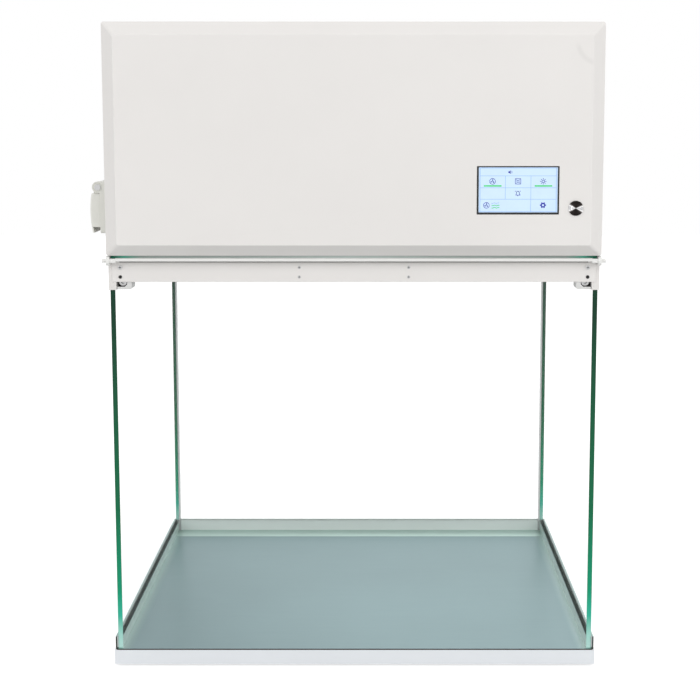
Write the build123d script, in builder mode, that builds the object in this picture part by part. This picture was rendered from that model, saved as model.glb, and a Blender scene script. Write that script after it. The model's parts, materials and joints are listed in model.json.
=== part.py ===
from build123d import *
from math import cos, radians, sin
import os

# A free-standing vertical laminar flow hood. Millimetres, +Z up, the front faces -Y, and the origin is
# on the surface that the feet stand on, under the middle of the base board.
os.makedirs("parts", exist_ok=True)

# Base board and feet
base_width = 600.0
base_depth = 510.0
board_thickness = 18.0
board_edge_radius = 1.0
foot_diameter = 40.0
foot_height = 3.0
foot_inset = 34.0
foot_chamfer = 0.6

# Worktop tray
tray_sheet = 1.5
tray_side_margin = 1.5
tray_front_margin = 0.5
tray_rear_margin = 1.5
tray_lip_height = 16.0
tray_bend_radius = 1.2

# Glass walls
glass_thickness = 6.0
glass_height = 492.0
glass_front_setback = 3.0
glass_edge_chamfer = 0.5
glass_joint_gap = 0.1
gasket_thickness = 1.3
gasket_lip_drop = 1.0
gasket_corner_radius = 1.5
corner_seal_size = 3.0
corner_seal_arc_radius = 4.8

# Rails that grip the top of the glass
rail_wall = 1.5
rail_web = 2.0
rail_height = 42.5
rail_glass_clearance = 0.1
glass_top_clearance = 0.5
rail_end_sheet = 1.0
rail_end_gap = 0.1

# Front fascia bar
bar_sheet = 1.5
bar_end_inset = 4.0
bar_height = 32.7
bar_flange_depth = 12.0
bar_flange_end_gap = 3.0
bar_edge_radius = 0.6
bracket_half_spacing = 66.2
bracket_width = 16.0
bracket_sheet = 2.0
screw_upper_drop = 15.0
screw_lower_drop = 26.6
mid_screw_head_radius = 2.0
mid_screw_head_height = 0.8
mid_screw_shank_radius = 1.25
end_screw_inset = 10.3
end_screw_head_radius = 2.7
end_screw_head_height = 1.4
end_screw_shank_radius = 1.5
end_screw_shank_length = 7.0
socket_screw_head_radius = 2.1
socket_screw_head_height = 0.6
socket_screw_key_radius = 1.1
screw_hole_clearance = 0.1

# Lamps along both sides
holder_depth = 24.0
holder_drop = 41.9
holder_rail_gap = 0.8
holder_corner_radius = 2.5
holder_inner_wall = 5.5
holder_bottom_wall = 3.1
pocket_width = 12.1
pocket_screw_gap = 0.4
pocket_depth = 11.0
pocket_chamfer = 3.0
holder_screw_head_radius = 4.5
holder_screw_head_height = 5.0
holder_screw_key_radius = 2.4
holder_screw_key_depth = 3.0
holder_screw_shank_radius = 2.0
holder_screw_shank_length = 5.0
lamp_axis_drop = 31.0
lamp_tube_radius = 8.0
lamp_glass_radius = 7.6
lamp_tube_length = 274.0
lamp_cap_length = 9.0
lamp_end_gap = 0.3
lamp_pin_radius = 1.2
lamp_pin_length = 6.0
lamp_pin_spacing = 5.0
lamp_pin_slot_clearance = 0.3
lamp_pin_end_clearance = 1.0

# Fan and filter housing
housing_side_inset = 1.3
housing_rear_margin = 1.0
housing_height = 276.0
housing_sheet = 1.5
housing_corner_radius = 3.0
side_flange = 40.0
end_flange = 24.0
top_flange = 15.0
top_screw_head_radius = 3.6
top_screw_head_height = 1.2
top_screw_head_chamfer = 0.4
top_screw_shank_radius = 2.0
top_screw_shank_length = 6.0
top_screw_inset = 8.0
top_screw_front_inset = 63.0
top_screw_rear_inset = 30.0

# Front cover with bevelled edges
cover_sheet = 1.2
cover_side_gap = 0.8
cover_rim_forward = 8.0
cover_bevel_depth = 16.0
cover_bevel_side = 16.0
cover_bevel_bottom = 14.0
cover_return_depth = 24.0
cover_top_gap = 0.5
cover_corner_radius = 3.0
cover_bend_radius = 1.8
cover_rim_radius = 2.5
cover_bend_shift = 0.5
cover_screw_edge_margin = 6.5
cover_screw_head_radius = 3.3
cover_screw_shank_radius = 2.0
cover_screw_length = 7.0
cover_screw_end_rise = 43.0

# Touch display
display_width = 97.3
display_height = 56.9
display_button_gap = 20.1
display_rise = 79.55
display_bezel_depth = 7.0
display_fit_gap = 0.25
display_border_left = 2.0
display_border_right = 1.5
display_border_top = 1.1
display_border_bottom = 2.2
display_corner_radius = 0.8
screen_recess = 0.7
screen_gap = 0.1
display_rim_width = 3.85
display_board_thickness = 1.6
display_chip_height = 2.5
display_chip_width = 14.0
display_chip_spread = 38.0
display_chip_step = 8.0
display_plug_length = 24.0
display_plug_width = 7.0
display_plug_across = 30.0
display_plug_down = 22.0

# Push button
button_side_inset = 34.4
button_rise = 58.4
button_head_radius = 8.9
button_head_height = 1.8
button_head_chamfer = 0.7
button_barrel_radius = 7.9
button_barrel_length = 13.0
button_hole_clearance = 0.15
button_cap_radius = 6.6
button_cap_clearance = 0.1
button_cap_length = 4.0
button_cap_dish = 0.8
button_dish_rim = 0.6
button_end_clearance = 0.5
button_travel = 1.5
button_stem_radius = 2.5
button_floor = 3.0
button_nut_flats = 19.0
button_nut_thickness = 2.5
button_nut_clearance = 0.02

# Intake on the top panel
grille_width = 300.0
grille_corner_radius = 8.0
grille_rise = 4.0
grille_sheet = 1.2
grille_bend_radius = 0.6
grille_slot_length = 78.0
grille_slot_width = 5.0
grille_columns = 3
grille_rows = 16
grille_column_pitch = 90.0
grille_row_pitch = 16.0
mat_top_gap = 0.2
mat_gap = 0.3

# Fan
fan_y = 10.0
inlet_hole_radius = 92.0
inlet_bend_radius = 26.0
inlet_sheet = 1.5
inlet_flange_width = 20.0
eye_radial_gap = 3.0
eye_overlap = 3.5
impeller_radius = 110.0
impeller_width = 45.0
impeller_sheet = 1.5
impeller_back_plate = 2.0
shroud_bend_radius = 9.5
neck_height = 17.0
blade_count = 9
blade_inner_radius = 62.0
blade_tip_inset = 3.0
blade_sweep = 42.0
blade_mid_share = 0.38
blade_thickness = 2.0
rotor_radius = 45.0
rotor_height = 46.0
rotor_wall = 4.0
rotor_flange_width = 7.0
rotor_flange_height = 2.0
rotor_flange_rise = 14.0
rotor_plate_clearance = 0.3
rotor_end_gap = 7.5
stator_air_gap = 1.5
stator_flange_height = 4.0
stator_flange_radius = 40.0
shaft_radius = 6.0
shaft_clearance = 0.05
shaft_proud = 2.5
fan_bracket_side_gap = 22.5
fan_bracket_sheet = 2.5
fan_bracket_width = 44.0
fan_bracket_foot = 20.0

# Filter
filter_side_gap = 24.5
filter_flange_overlap = 13.0
filter_height = 68.0
filter_wall = 12.0
filter_gasket_thickness = 4.0
filter_gasket_inset = 2.0
pleat_count = 44
pleat_thickness = 0.8
pleat_end_gap = 5.0
pleat_edge_gap = 0.3
diffuser_side_margin = 6.0
diffuser_end_margin = 7.0
diffuser_height = 7.0
diffuser_sheet = 1.5
diffuser_columns = 12
diffuser_rows = 10
diffuser_slot_share_x = 0.78
diffuser_slot_width = 14.0

# Electrics inside the housing
board_width = 110.0
board_height = 80.0
board_thickness_pcb = 1.6
board_y = -20.0
board_rise = 120.0
standoff_radius = 3.0
standoff_length = 8.0
standoff_inset = 6.0
tall_part_rise = 15.0
low_part_rise = 6.0
choke_length = 28.0
choke_width = 22.0
choke_across = 30.0
choke_up = 18.0
relay_length = 16.0
relay_width = 20.0
relay_across = 15.0
relay_pitch = 20.0
relay_down = 16.0
chip_width = 14.0
chip_across = 30.0
chip_down = 20.0
plug_row_length = 50.0
plug_row_width = 8.0
plug_row_across = 20.0
plug_row_up = 30.0
supply_length = 110.0
supply_height = 60.0
supply_depth = 38.0
supply_y = 140.0
supply_rise = 130.0
supply_edge_chamfer = 1.0
ballast_length = 150.0
ballast_height = 30.0
ballast_depth = 22.0
ballast_y = 60.0
ballast_rise = 120.0
ballast_edge_radius = 1.5

# Mains socket on the left side
socket_y_from_front = 63.0
socket_width = 62.0
socket_frame_proud = 15.8
socket_bottom_margin = 3.9
socket_axis_gap = 8.8
socket_axis_out = 2.4
socket_knuckle_radius = 7.0
socket_barrel_inset = 0.3
socket_barrel_clearance = 0.5
socket_ear_length = 9.0
socket_ear_gap = 0.3
ear_groove_radius = 5.7
ear_groove_width = 0.8
ear_groove_depth = 0.6
socket_corner_radius = 5.0
socket_centre_rise = 49.5
socket_recess_radius = 19.75
socket_recess_depth = 17.5
socket_insert_wall = 2.25
socket_insert_clearance = 0.15
socket_insert_back = 14.0
socket_pin_hole_radius = 2.5
socket_pin_hole_spacing = 19.0
socket_pin_hole_depth = 10.0
earth_clip_width = 4.5
earth_clip_thickness = 1.0
earth_clip_length = 12.0
earth_clip_wall_gap = 0.3
lid_gap = 0.3
lid_side_inset = 1.0
lid_bulge = 10.0
lid_bottom_out = 7.3
lid_wall = 2.0
lid_bottom_gap = 0.9
lid_grip_height = 7.0
lid_grip_slant = 1.6
lid_edge_radius = 2.4
lid_ear_clearance = 0.8
hinge_pin_radius = 2.0
hinge_pin_head_radius = 3.8
hinge_pin_head_length = 0.8
hinge_pin_clearance = 0.06

# Mains inlet on the rear
inlet_side_inset = 81.0
inlet_rise = 130.0
inlet_flange_margin = 2.0
inlet_flange_thickness = 2.0
inlet_flange_corner_radius = 2.0
inlet_wall = 1.3
inlet_body_height = 32.0
inlet_body_depth = 24.0
inlet_cutout_gap = 0.2
inlet_cavity_width = 24.4
inlet_cavity_height = 16.8
inlet_cavity_depth = 16.0
inlet_cavity_drop = 5.5
inlet_cavity_chamfer = 4.5
inlet_pin_width = 4.0
inlet_pin_thickness = 2.0
inlet_pin_length = 14.0
inlet_pin_spacing = 7.0
inlet_earth_pin_rise = 3.0
fuse_slot_width = 22.0
fuse_slot_height = 8.0
fuse_slot_depth = 1.0
fuse_slot_margin = 1.5
fuse_slot_corner_radius = 1.0

# Sliding sash
sash_glass_thickness = 4.0
sash_glass_side_inset = 3.25
sash_glass_height = 265.0
sash_bar_gap = 3.7
sash_glass_chamfer = 0.4
sash_rail_end_inset = 5.95
sash_rail_height = 4.3
sash_rail_front_wall = 2.2
sash_rail_rear_wall = 1.2
sash_rail_web = 1.5
sash_groove_clearance = 0.2
sash_rail_drop = 7.1
sash_rail_nose_radius = 1.8
end_cap_length = 7.2
end_cap_height = 5.4
end_cap_drop = 1.7
end_cap_flange_length = 4.0
end_cap_flange_gap = 0.3
end_cap_pin_length = 5.5
end_cap_pin_radius = 2.3
end_cap_top_gap = 0.4
end_cap_corner_radius = 1.2
guide_clearance = 0.3
guide_edge_clearance = 0.4
guide_wall = 1.5
guide_depth = 5.65
guide_bottom_gap = 1.0
guide_top_gap = 5.0

# Levels and faces that follow from the sizes above
front_y = -base_depth / 2
board_bottom_z = foot_height
board_top_z = board_bottom_z + board_thickness
floor_z = board_top_z + tray_sheet
glass_top_z = floor_z + glass_height
housing_bottom_z = glass_top_z + glass_top_clearance + rail_web
housing_top_z = housing_bottom_z + housing_height
rail_bottom_z = housing_bottom_z - rail_height

tray_half_width = base_width / 2 - tray_side_margin
tray_front_y = front_y + tray_front_margin
tray_rear_y = base_depth / 2 - tray_rear_margin
lip_inner_x = tray_half_width - tray_sheet
lip_inner_y = tray_rear_y - tray_sheet

side_glass_outer_x = lip_inner_x - gasket_thickness
side_glass_inner_x = side_glass_outer_x - glass_thickness
glass_front_y = front_y + glass_front_setback
glass_rear_y = lip_inner_y - gasket_thickness
rear_glass_front_y = glass_rear_y - glass_thickness

rail_outer_x = side_glass_outer_x + rail_glass_clearance + rail_wall
rail_inner_x = side_glass_inner_x - rail_glass_clearance - rail_wall
bar_back_y = glass_front_y
bar_front_y = bar_back_y - bar_sheet
bar_half_width = rail_outer_x - bar_end_inset
end_screw_x = bar_half_width - end_screw_inset
bar_bottom_z = housing_bottom_z - bar_height
screw_upper_z = housing_bottom_z - screw_upper_drop
screw_lower_z = housing_bottom_z - screw_lower_drop

holder_outer_x = rail_inner_x - holder_rail_gap
holder_width = holder_inner_wall + pocket_width
holder_inner_x = holder_outer_x - holder_width
holder_bottom_z = housing_bottom_z - holder_drop
pocket_height = 2 * (holder_screw_head_radius + pocket_screw_gap)
holder_screw_x = holder_outer_x - pocket_width / 2
holder_screw_z = holder_bottom_z + holder_bottom_wall + pocket_height / 2
bar_flange_half = holder_inner_x - bar_flange_end_gap
lamp_axis_x = (holder_outer_x + holder_inner_x) / 2
lamp_axis_z = housing_bottom_z - lamp_axis_drop
front_holder_y = bar_back_y
tube_front_y = front_holder_y + holder_depth + lamp_end_gap
tube_rear_y = tube_front_y + lamp_tube_length
rear_holder_y = tube_rear_y + lamp_end_gap

shell_half_width = rail_outer_x - housing_side_inset
shell_front_y = glass_front_y
shell_rear_y = base_depth / 2 - housing_rear_margin
shell_mid_y = (shell_front_y + shell_rear_y) / 2
shell_depth = shell_rear_y - shell_front_y
shell_top_z = housing_top_z - housing_sheet
shell_inner_x = shell_half_width - housing_sheet
flange_top_z = housing_bottom_z + housing_sheet
opening_half_width = shell_half_width - side_flange
opening_depth = shell_depth - 2 * end_flange

cover_half_width = shell_half_width + cover_side_gap + cover_sheet
cover_rim_y = front_y - cover_rim_forward
cover_face_y = cover_rim_y - cover_bevel_depth
cover_inner_y = cover_face_y + cover_sheet
cover_top_z = housing_top_z + cover_top_gap + cover_sheet
cover_screw_y = cover_rim_y + cover_return_depth - cover_screw_edge_margin
cover_screw_rises = (cover_screw_end_rise, housing_height / 2, housing_height - cover_screw_end_rise)
button_x = cover_half_width - button_side_inset
button_z = housing_bottom_z + button_rise
display_centre_x = button_x - display_button_gap - display_width / 2
display_z = housing_bottom_z + display_rise
display_board_width = display_width + 2 * display_rim_width
display_board_height = display_height + 2 * display_rim_width

sash_glass_rear_y = bar_front_y - sash_bar_gap
sash_glass_front_y = sash_glass_rear_y - sash_glass_thickness
sash_glass_mid_y = (sash_glass_front_y + sash_glass_rear_y) / 2
sash_glass_half_width = shell_half_width - sash_glass_side_inset
sash_rail_half_length = sash_glass_half_width - sash_rail_end_inset
sash_rail_bottom_z = housing_bottom_z - sash_rail_drop
sash_rail_top_z = sash_rail_bottom_z + sash_rail_height
sash_rail_front_y = sash_glass_front_y - sash_groove_clearance - sash_rail_front_wall
sash_rail_rear_y = sash_glass_rear_y + sash_groove_clearance + sash_rail_rear_wall
sash_glass_bottom_z = sash_rail_bottom_z + sash_rail_web
guide_front_y = sash_glass_front_y - guide_clearance - guide_wall
guide_outer_x = sash_glass_half_width + guide_edge_clearance + guide_wall
end_cap_flange_radius = glass_front_y - rail_end_sheet - sash_glass_mid_y - end_cap_flange_gap

mat_thickness = grille_rise - grille_sheet - mat_top_gap
inlet_throat_radius = inlet_hole_radius - inlet_bend_radius
throat_bottom_z = shell_top_z - inlet_bend_radius
neck_radius = inlet_throat_radius + inlet_sheet + eye_radial_gap
neck_top_z = throat_bottom_z + eye_overlap
shroud_z = neck_top_z - neck_height
back_plate_top_z = shroud_z - impeller_width
back_plate_z = back_plate_top_z - impeller_back_plate
rotor_bottom_z = back_plate_z - rotor_flange_height - rotor_flange_rise
rotor_top_z = rotor_bottom_z + rotor_height
rotor_flange_radius = rotor_radius + rotor_flange_width
blade_outer_radius = impeller_radius - blade_tip_inset
stator_low_z = rotor_bottom_z - rotor_end_gap
stator_top_z = rotor_top_z - rotor_wall - rotor_end_gap
bracket_web_top_z = stator_low_z - stator_flange_height
fan_bracket_half_span = impeller_radius + fan_bracket_side_gap + fan_bracket_sheet
filter_half_width = shell_inner_x - filter_side_gap
filter_bottom_z = flange_top_z + filter_gasket_thickness
filter_depth = opening_depth + 2 * filter_flange_overlap
pleat_depth = filter_height - 2 * pleat_end_gap
diffuser_bottom_z = housing_bottom_z - diffuser_height

socket_y = front_y + socket_y_from_front
socket_wall_x = -shell_half_width
socket_face_x = socket_wall_x - socket_frame_proud
socket_axis_x = socket_face_x - socket_axis_out
socket_insert_radius = socket_recess_radius + socket_insert_wall
socket_centre_z = housing_bottom_z + socket_centre_rise
socket_axis_z = socket_centre_z + socket_insert_radius + socket_axis_gap
socket_bottom_z = socket_centre_z - socket_insert_radius - socket_bottom_margin
socket_barrel_radius = socket_knuckle_radius - socket_barrel_inset
lid_inner_x = socket_face_x - lid_gap
lid_half_width = socket_width / 2 - lid_side_inset
lid_bottom_z = socket_bottom_z + lid_bottom_gap
inlet_x = shell_half_width - inlet_side_inset
inlet_z = housing_bottom_z + inlet_rise
inlet_body_width = inlet_cavity_width + 2 * inlet_wall
inlet_flange_width = inlet_body_width + 2 * inlet_flange_margin
inlet_flange_height = inlet_body_height + 2 * inlet_flange_margin


def at_y(y):
    """Drawing plane across the hood at depth y: local x is X, local y is Z, the normal faces the front."""
    return Plane.XZ.offset(-y)


def facing_front(x, y, z):
    return Plane(origin=(x, y, z), x_dir=(1, 0, 0), z_dir=(0, -1, 0))


def facing_up(x, y, z):
    return Plane(origin=(x, y, z), x_dir=(1, 0, 0), z_dir=(0, 0, 1))


def span_rectangle(x_low, x_high, y_low, y_high, mode=Mode.ADD):
    """A rectangle between two limits on each axis of the sketch."""
    with Locations(((x_low + x_high) / 2, (y_low + y_high) / 2)):
        Rectangle(x_high - x_low, y_high - y_low, mode=mode)


def screw(head_radius, head_height, shank_radius, shank_length):
    """A screw at each current location, head along the local +Z and shank along -Z."""
    Cylinder(head_radius, head_height, align=(Align.CENTER, Align.CENTER, Align.MIN))
    Cylinder(shank_radius, shank_length, align=(Align.CENTER, Align.CENTER, Align.MAX))


# Rubber feet
with BuildPart() as rubber_feet:
    foot_half_x = base_width / 2 - foot_inset
    foot_half_y = base_depth / 2 - foot_inset
    with BuildSketch(Plane.XY):
        with GridLocations(2 * foot_half_x, 2 * foot_half_y, 2, 2):
            Circle(foot_diameter / 2)
    extrude(amount=foot_height)
    chamfer(rubber_feet.edges().group_by(Axis.Z)[0], foot_chamfer)
rubber_feet.part.label = "rubber_feet"
export_step(rubber_feet.part, "parts/rubber_feet.step")

# Laminated base board
with BuildPart() as base_board:
    with BuildSketch(Plane.XY.offset(board_bottom_z)):
        RectangleRounded(base_width, base_depth, board_edge_radius)
    extrude(amount=board_thickness)
base_board.part.label = "base_board"
export_step(base_board.part, "parts/base_board.step")

# Stainless tray: a floor with lips bent up at the sides and the rear, open at the front
with BuildPart() as worktop_tray:
    with BuildSketch(Plane.XY.offset(board_top_z)):
        span_rectangle(-tray_half_width, tray_half_width, tray_front_y, tray_rear_y)
    extrude(amount=tray_sheet + tray_lip_height)
    under_edges = worktop_tray.edges().group_by(Axis.Z)[0].sort_by(Axis.Y)[1:]
    rear_corners = worktop_tray.edges().filter_by(Axis.Z).group_by(Axis.Y)[-1]
    fillet(under_edges + rear_corners, tray_bend_radius + tray_sheet)
    tray_top = worktop_tray.faces().sort_by(Axis.Z)[-1]
    tray_front = worktop_tray.faces().sort_by(Axis.Y)[0]
    offset(amount=-tray_sheet, openings=[tray_top, tray_front])
worktop_tray.part.label = "worktop_tray"
export_step(worktop_tray.part, "parts/worktop_tray.step")

# Gasket strip that fills the joint between the lips and the glass
with BuildPart() as glass_gasket:
    with BuildSketch(Plane.XY.offset(floor_z + tray_bend_radius)) as gasket_outline:
        span_rectangle(-lip_inner_x, lip_inner_x, glass_front_y, lip_inner_y)
        gasket_corners = gasket_outline.vertices().group_by(Axis.Y)[-1]
        fillet(gasket_corners, gasket_corner_radius)
        span_rectangle(
            -side_glass_outer_x, side_glass_outer_x, glass_front_y, glass_rear_y, Mode.SUBTRACT
        )
    extrude(amount=tray_lip_height - tray_bend_radius - gasket_lip_drop)
glass_gasket.part.label = "glass_gasket"
export_step(glass_gasket.part, "parts/glass_gasket.step")

# Side walls of the chamber
for side, side_name in ((-1, "left"), (1, "right")):
    with BuildPart() as side_glass:
        with BuildSketch(Plane.XY.offset(floor_z)):
            glass_low_x = min(side * side_glass_inner_x, side * side_glass_outer_x)
            span_rectangle(glass_low_x, glass_low_x + glass_thickness, glass_front_y, glass_rear_y)
        extrude(amount=glass_height)
        chamfer(side_glass.edges().group_by(Axis.Y)[0], glass_edge_chamfer)
    side_glass.part.label = f"{side_name}_glass"
    export_step(side_glass.part, f"parts/{side_name}_glass.step")

# Rear wall of the chamber, between the side walls
with BuildPart() as rear_glass:
    rear_glass_half = side_glass_inner_x - glass_joint_gap
    with BuildSketch(Plane.XY.offset(floor_z)):
        span_rectangle(-rear_glass_half, rear_glass_half, rear_glass_front_y, glass_rear_y)
    extrude(amount=glass_height)
rear_glass.part.label = "rear_glass"
export_step(rear_glass.part, "parts/rear_glass.step")

# Clear beads in the two rear corners of the chamber
with BuildPart() as corner_seals:
    with BuildSketch(Plane.XY.offset(floor_z)):
        for side in (-1, 1):
            bead_x = side * side_glass_inner_x
            bead_tip_x = bead_x - side * corner_seal_size
            bead_tip_y = rear_glass_front_y - corner_seal_size
            with BuildLine():
                Line((bead_tip_x, rear_glass_front_y), (bead_x, rear_glass_front_y))
                Line((bead_x, rear_glass_front_y), (bead_x, bead_tip_y))
                RadiusArc(
                    (bead_x, bead_tip_y),
                    (bead_tip_x, rear_glass_front_y),
                    -side * corner_seal_arc_radius,
                )
            make_face()
    extrude(amount=rail_bottom_z - floor_z)
corner_seals.part.label = "corner_seals"
export_step(corner_seals.part, "parts/corner_seals.step")

# Side rails: channels that grip the side glass and carry the housing
for side, side_name in ((-1, "left"), (1, "right")):
    with BuildPart() as side_rail:
        with BuildSketch(at_y(glass_front_y)):
            rail_low_x = min(side * rail_inner_x, side * rail_outer_x)
            rail_width = rail_outer_x - rail_inner_x
            span_rectangle(rail_low_x, rail_low_x + rail_width, rail_bottom_z, housing_bottom_z)
            span_rectangle(
                rail_low_x + rail_wall,
                rail_low_x + rail_width - rail_wall,
                rail_bottom_z,
                housing_bottom_z - rail_web,
                Mode.SUBTRACT,
            )
        extrude(amount=-(shell_rear_y - glass_front_y))
        # The inner wall stops short of the rear glass
        with BuildSketch(Plane.XY.offset(rail_bottom_z)):
            notch_low_x = min(side * rail_inner_x, side * (rail_inner_x + rail_wall))
            notch_front_y = rear_glass_front_y - rail_glass_clearance
            span_rectangle(notch_low_x, notch_low_x + rail_wall, notch_front_y, shell_rear_y)
        extrude(amount=rail_height - rail_web, mode=Mode.SUBTRACT)
        # The closed front end is notched round the end of the fascia bar
        with BuildSketch(at_y(glass_front_y)):
            span_rectangle(rail_low_x, rail_low_x + rail_width, rail_bottom_z, housing_bottom_z)
            bar_notch_x = bar_half_width + rail_end_gap
            bar_notch_low_x = min(side * rail_inner_x, side * bar_notch_x)
            span_rectangle(
                bar_notch_low_x,
                bar_notch_low_x + bar_notch_x - rail_inner_x,
                bar_bottom_z - rail_end_gap,
                housing_bottom_z,
                Mode.SUBTRACT,
            )
        extrude(amount=rail_end_sheet)
    side_rail.part.label = f"{side_name}_side_rail"
    export_step(side_rail.part, f"parts/{side_name}_side_rail.step")

# Rear rail, between the side rails
with BuildPart() as rear_rail:
    rear_rail_front_y = rear_glass_front_y - rail_glass_clearance - rail_wall
    rear_rail_rear_y = glass_rear_y + rail_glass_clearance + rail_wall
    rear_rail_half = rail_inner_x - rail_glass_clearance
    with BuildSketch(Plane.YZ.offset(-rear_rail_half)):
        span_rectangle(rear_rail_front_y, rear_rail_rear_y, rail_bottom_z, housing_bottom_z)
        span_rectangle(
            rear_rail_front_y + rail_wall,
            rear_rail_rear_y - rail_wall,
            rail_bottom_z,
            housing_bottom_z - rail_web,
            Mode.SUBTRACT,
        )
    extrude(amount=2 * rear_rail_half)
rear_rail.part.label = "rear_rail"
export_step(rear_rail.part, "parts/rear_rail.step")

# Fascia bar: a folded channel across the front, its flanges stopping short of the lamp holders
with BuildPart() as front_fascia_bar:
    with BuildSketch(at_y(bar_back_y)):
        span_rectangle(-bar_half_width, bar_half_width, bar_bottom_z, housing_bottom_z)
    extrude(amount=bar_sheet)
    with BuildSketch(Plane.YZ.offset(-bar_flange_half)):
        flange_back_y = bar_back_y + bar_flange_depth
        span_rectangle(bar_back_y, flange_back_y, bar_bottom_z, bar_bottom_z + bar_sheet)
        span_rectangle(bar_back_y, flange_back_y, housing_bottom_z - bar_sheet, housing_bottom_z)
    extrude(amount=2 * bar_flange_half)
    bar_front_edges = front_fascia_bar.edges().group_by(Axis.Y)[0]
    fillet(bar_front_edges, bar_edge_radius)
    screw_heights = (screw_upper_z, screw_lower_z)
    mid_places = []
    end_places = []
    for side in (-1, 1):
        for screw_z in screw_heights:
            mid_places.append(facing_front(side * bracket_half_spacing, bar_front_y, screw_z))
            end_places.append(facing_front(side * end_screw_x, bar_front_y, screw_z))
    with Locations(*mid_places):
        Hole(mid_screw_shank_radius + screw_hole_clearance, bar_sheet)
    with Locations(*end_places):
        Hole(end_screw_shank_radius + screw_hole_clearance, bar_sheet)
front_fascia_bar.part.label = "front_fascia_bar"
export_step(front_fascia_bar.part, "parts/front_fascia_bar.step")

# Tabs behind the bar that take its middle screws
with BuildPart() as fascia_brackets:
    with BuildSketch(at_y(bar_back_y)):
        for side in (-1, 1):
            tab_x = side * bracket_half_spacing
            span_rectangle(
                tab_x - bracket_width / 2,
                tab_x + bracket_width / 2,
                bar_bottom_z + bar_sheet,
                housing_bottom_z - bar_sheet,
            )
    extrude(amount=-bracket_sheet)
    with Locations(*mid_places):
        Hole(mid_screw_shank_radius + screw_hole_clearance, bar_sheet + bracket_sheet)
fascia_brackets.part.label = "fascia_brackets"
export_step(fascia_brackets.part, "parts/fascia_brackets.step")

# Pan-head screws of the bar: four in the middle, and the upper one at each end
with BuildPart() as fascia_screws:
    with Locations(*mid_places):
        screw(
            mid_screw_head_radius,
            mid_screw_head_height,
            mid_screw_shank_radius,
            bar_sheet + bracket_sheet,
        )
    with Locations(end_places[0], end_places[2]):
        screw(
            end_screw_head_radius,
            end_screw_head_height,
            end_screw_shank_radius,
            end_screw_shank_length,
        )
fascia_screws.part.label = "fascia_screws"
export_step(fascia_screws.part, "parts/fascia_screws.step")

# Black socket screws at the lower end holes of the bar
with BuildPart() as fascia_socket_screws:
    with Locations(end_places[1], end_places[3]):
        screw(
            socket_screw_head_radius,
            socket_screw_head_height,
            end_screw_shank_radius,
            end_screw_shank_length,
        )
    with BuildSketch(at_y(bar_front_y - socket_screw_head_height)):
        with Locations(*[(s * end_screw_x, screw_lower_z) for s in (-1, 1)]):
            RegularPolygon(socket_screw_key_radius, 6)
    extrude(amount=-(socket_screw_head_height + bar_sheet), mode=Mode.SUBTRACT)
fascia_socket_screws.part.label = "fascia_socket_screws"
export_step(fascia_socket_screws.part, "parts/fascia_socket_screws.step")

# Lamp holders: the front one faces the room with an open pocket, both take the pins of the tube
for side, side_name in ((-1, "left"), (1, "right")):
    with BuildPart() as lamp_holders:
        for holder_y in (front_holder_y, rear_holder_y):
            with BuildSketch(at_y(holder_y)) as holder_outline:
                holder_low_x = min(side * holder_inner_x, side * holder_outer_x)
                span_rectangle(
                    holder_low_x, holder_low_x + holder_width, holder_bottom_z, housing_bottom_z
                )
                lower_corners = holder_outline.vertices().group_by(Axis.Y)[0]
                inboard_corner = lower_corners.sort_by(Axis.X)[0 if side > 0 else -1]
                fillet(inboard_corner, holder_corner_radius)
            extrude(amount=-holder_depth)
        with BuildSketch(at_y(front_holder_y)) as pocket_outline:
            pocket_inner_x = side * (holder_inner_x + holder_inner_wall)
            pocket_low_x = min(pocket_inner_x, side * holder_outer_x)
            pocket_high_x = max(pocket_inner_x, side * holder_outer_x)
            pocket_bottom_z = holder_bottom_z + holder_bottom_wall
            span_rectangle(
                pocket_low_x, pocket_high_x, pocket_bottom_z, pocket_bottom_z + pocket_height
            )
            pocket_corners = pocket_outline.vertices().group_by(Axis.Y)[0]
            chamfer(pocket_corners.sort_by(Axis.X)[0 if side > 0 else -1], pocket_chamfer)
        extrude(amount=-pocket_depth, mode=Mode.SUBTRACT)
        slot_depth = lamp_pin_length + lamp_pin_end_clearance
        for slot_y in (tube_front_y - lamp_end_gap, tube_rear_y + lamp_end_gap + slot_depth):
            with BuildSketch(at_y(slot_y)):
                with Locations((side * lamp_axis_x, lamp_axis_z)):
                    SlotOverall(
                        lamp_pin_spacing + 2 * lamp_pin_radius + 2 * lamp_pin_slot_clearance,
                        2 * (lamp_pin_radius + lamp_pin_slot_clearance),
                        rotation=90,
                    )
            extrude(amount=slot_depth, mode=Mode.SUBTRACT)
        holder_screw_place = facing_front(
            side * holder_screw_x, front_holder_y + pocket_depth, holder_screw_z
        )
        with Locations(holder_screw_place):
            Hole(holder_screw_shank_radius + screw_hole_clearance, holder_screw_shank_length)
        for end_place in end_places[:2] if side < 0 else end_places[2:]:
            with Locations(end_place):
                Hole(end_screw_shank_radius, end_screw_shank_length)
    lamp_holders.part.label = f"{side_name}_lamp_holders"
    export_step(lamp_holders.part, f"parts/{side_name}_lamp_holders.step")

# Cap screws in the pockets of the front holders
with BuildPart() as lamp_holder_screws:
    holder_screw_y = front_holder_y + pocket_depth
    pocket_places = [facing_front(s * holder_screw_x, holder_screw_y, holder_screw_z) for s in (-1, 1)]
    with Locations(*pocket_places):
        screw(
            holder_screw_head_radius,
            holder_screw_head_height,
            holder_screw_shank_radius,
            holder_screw_shank_length,
        )
    with BuildSketch(at_y(holder_screw_y - holder_screw_head_height)):
        with Locations(*[(s * holder_screw_x, holder_screw_z) for s in (-1, 1)]):
            RegularPolygon(holder_screw_key_radius, 6)
    extrude(amount=-holder_screw_key_depth, mode=Mode.SUBTRACT)
lamp_holder_screws.part.label = "lamp_holder_screws"
export_step(lamp_holder_screws.part, "parts/lamp_holder_screws.step")

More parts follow.
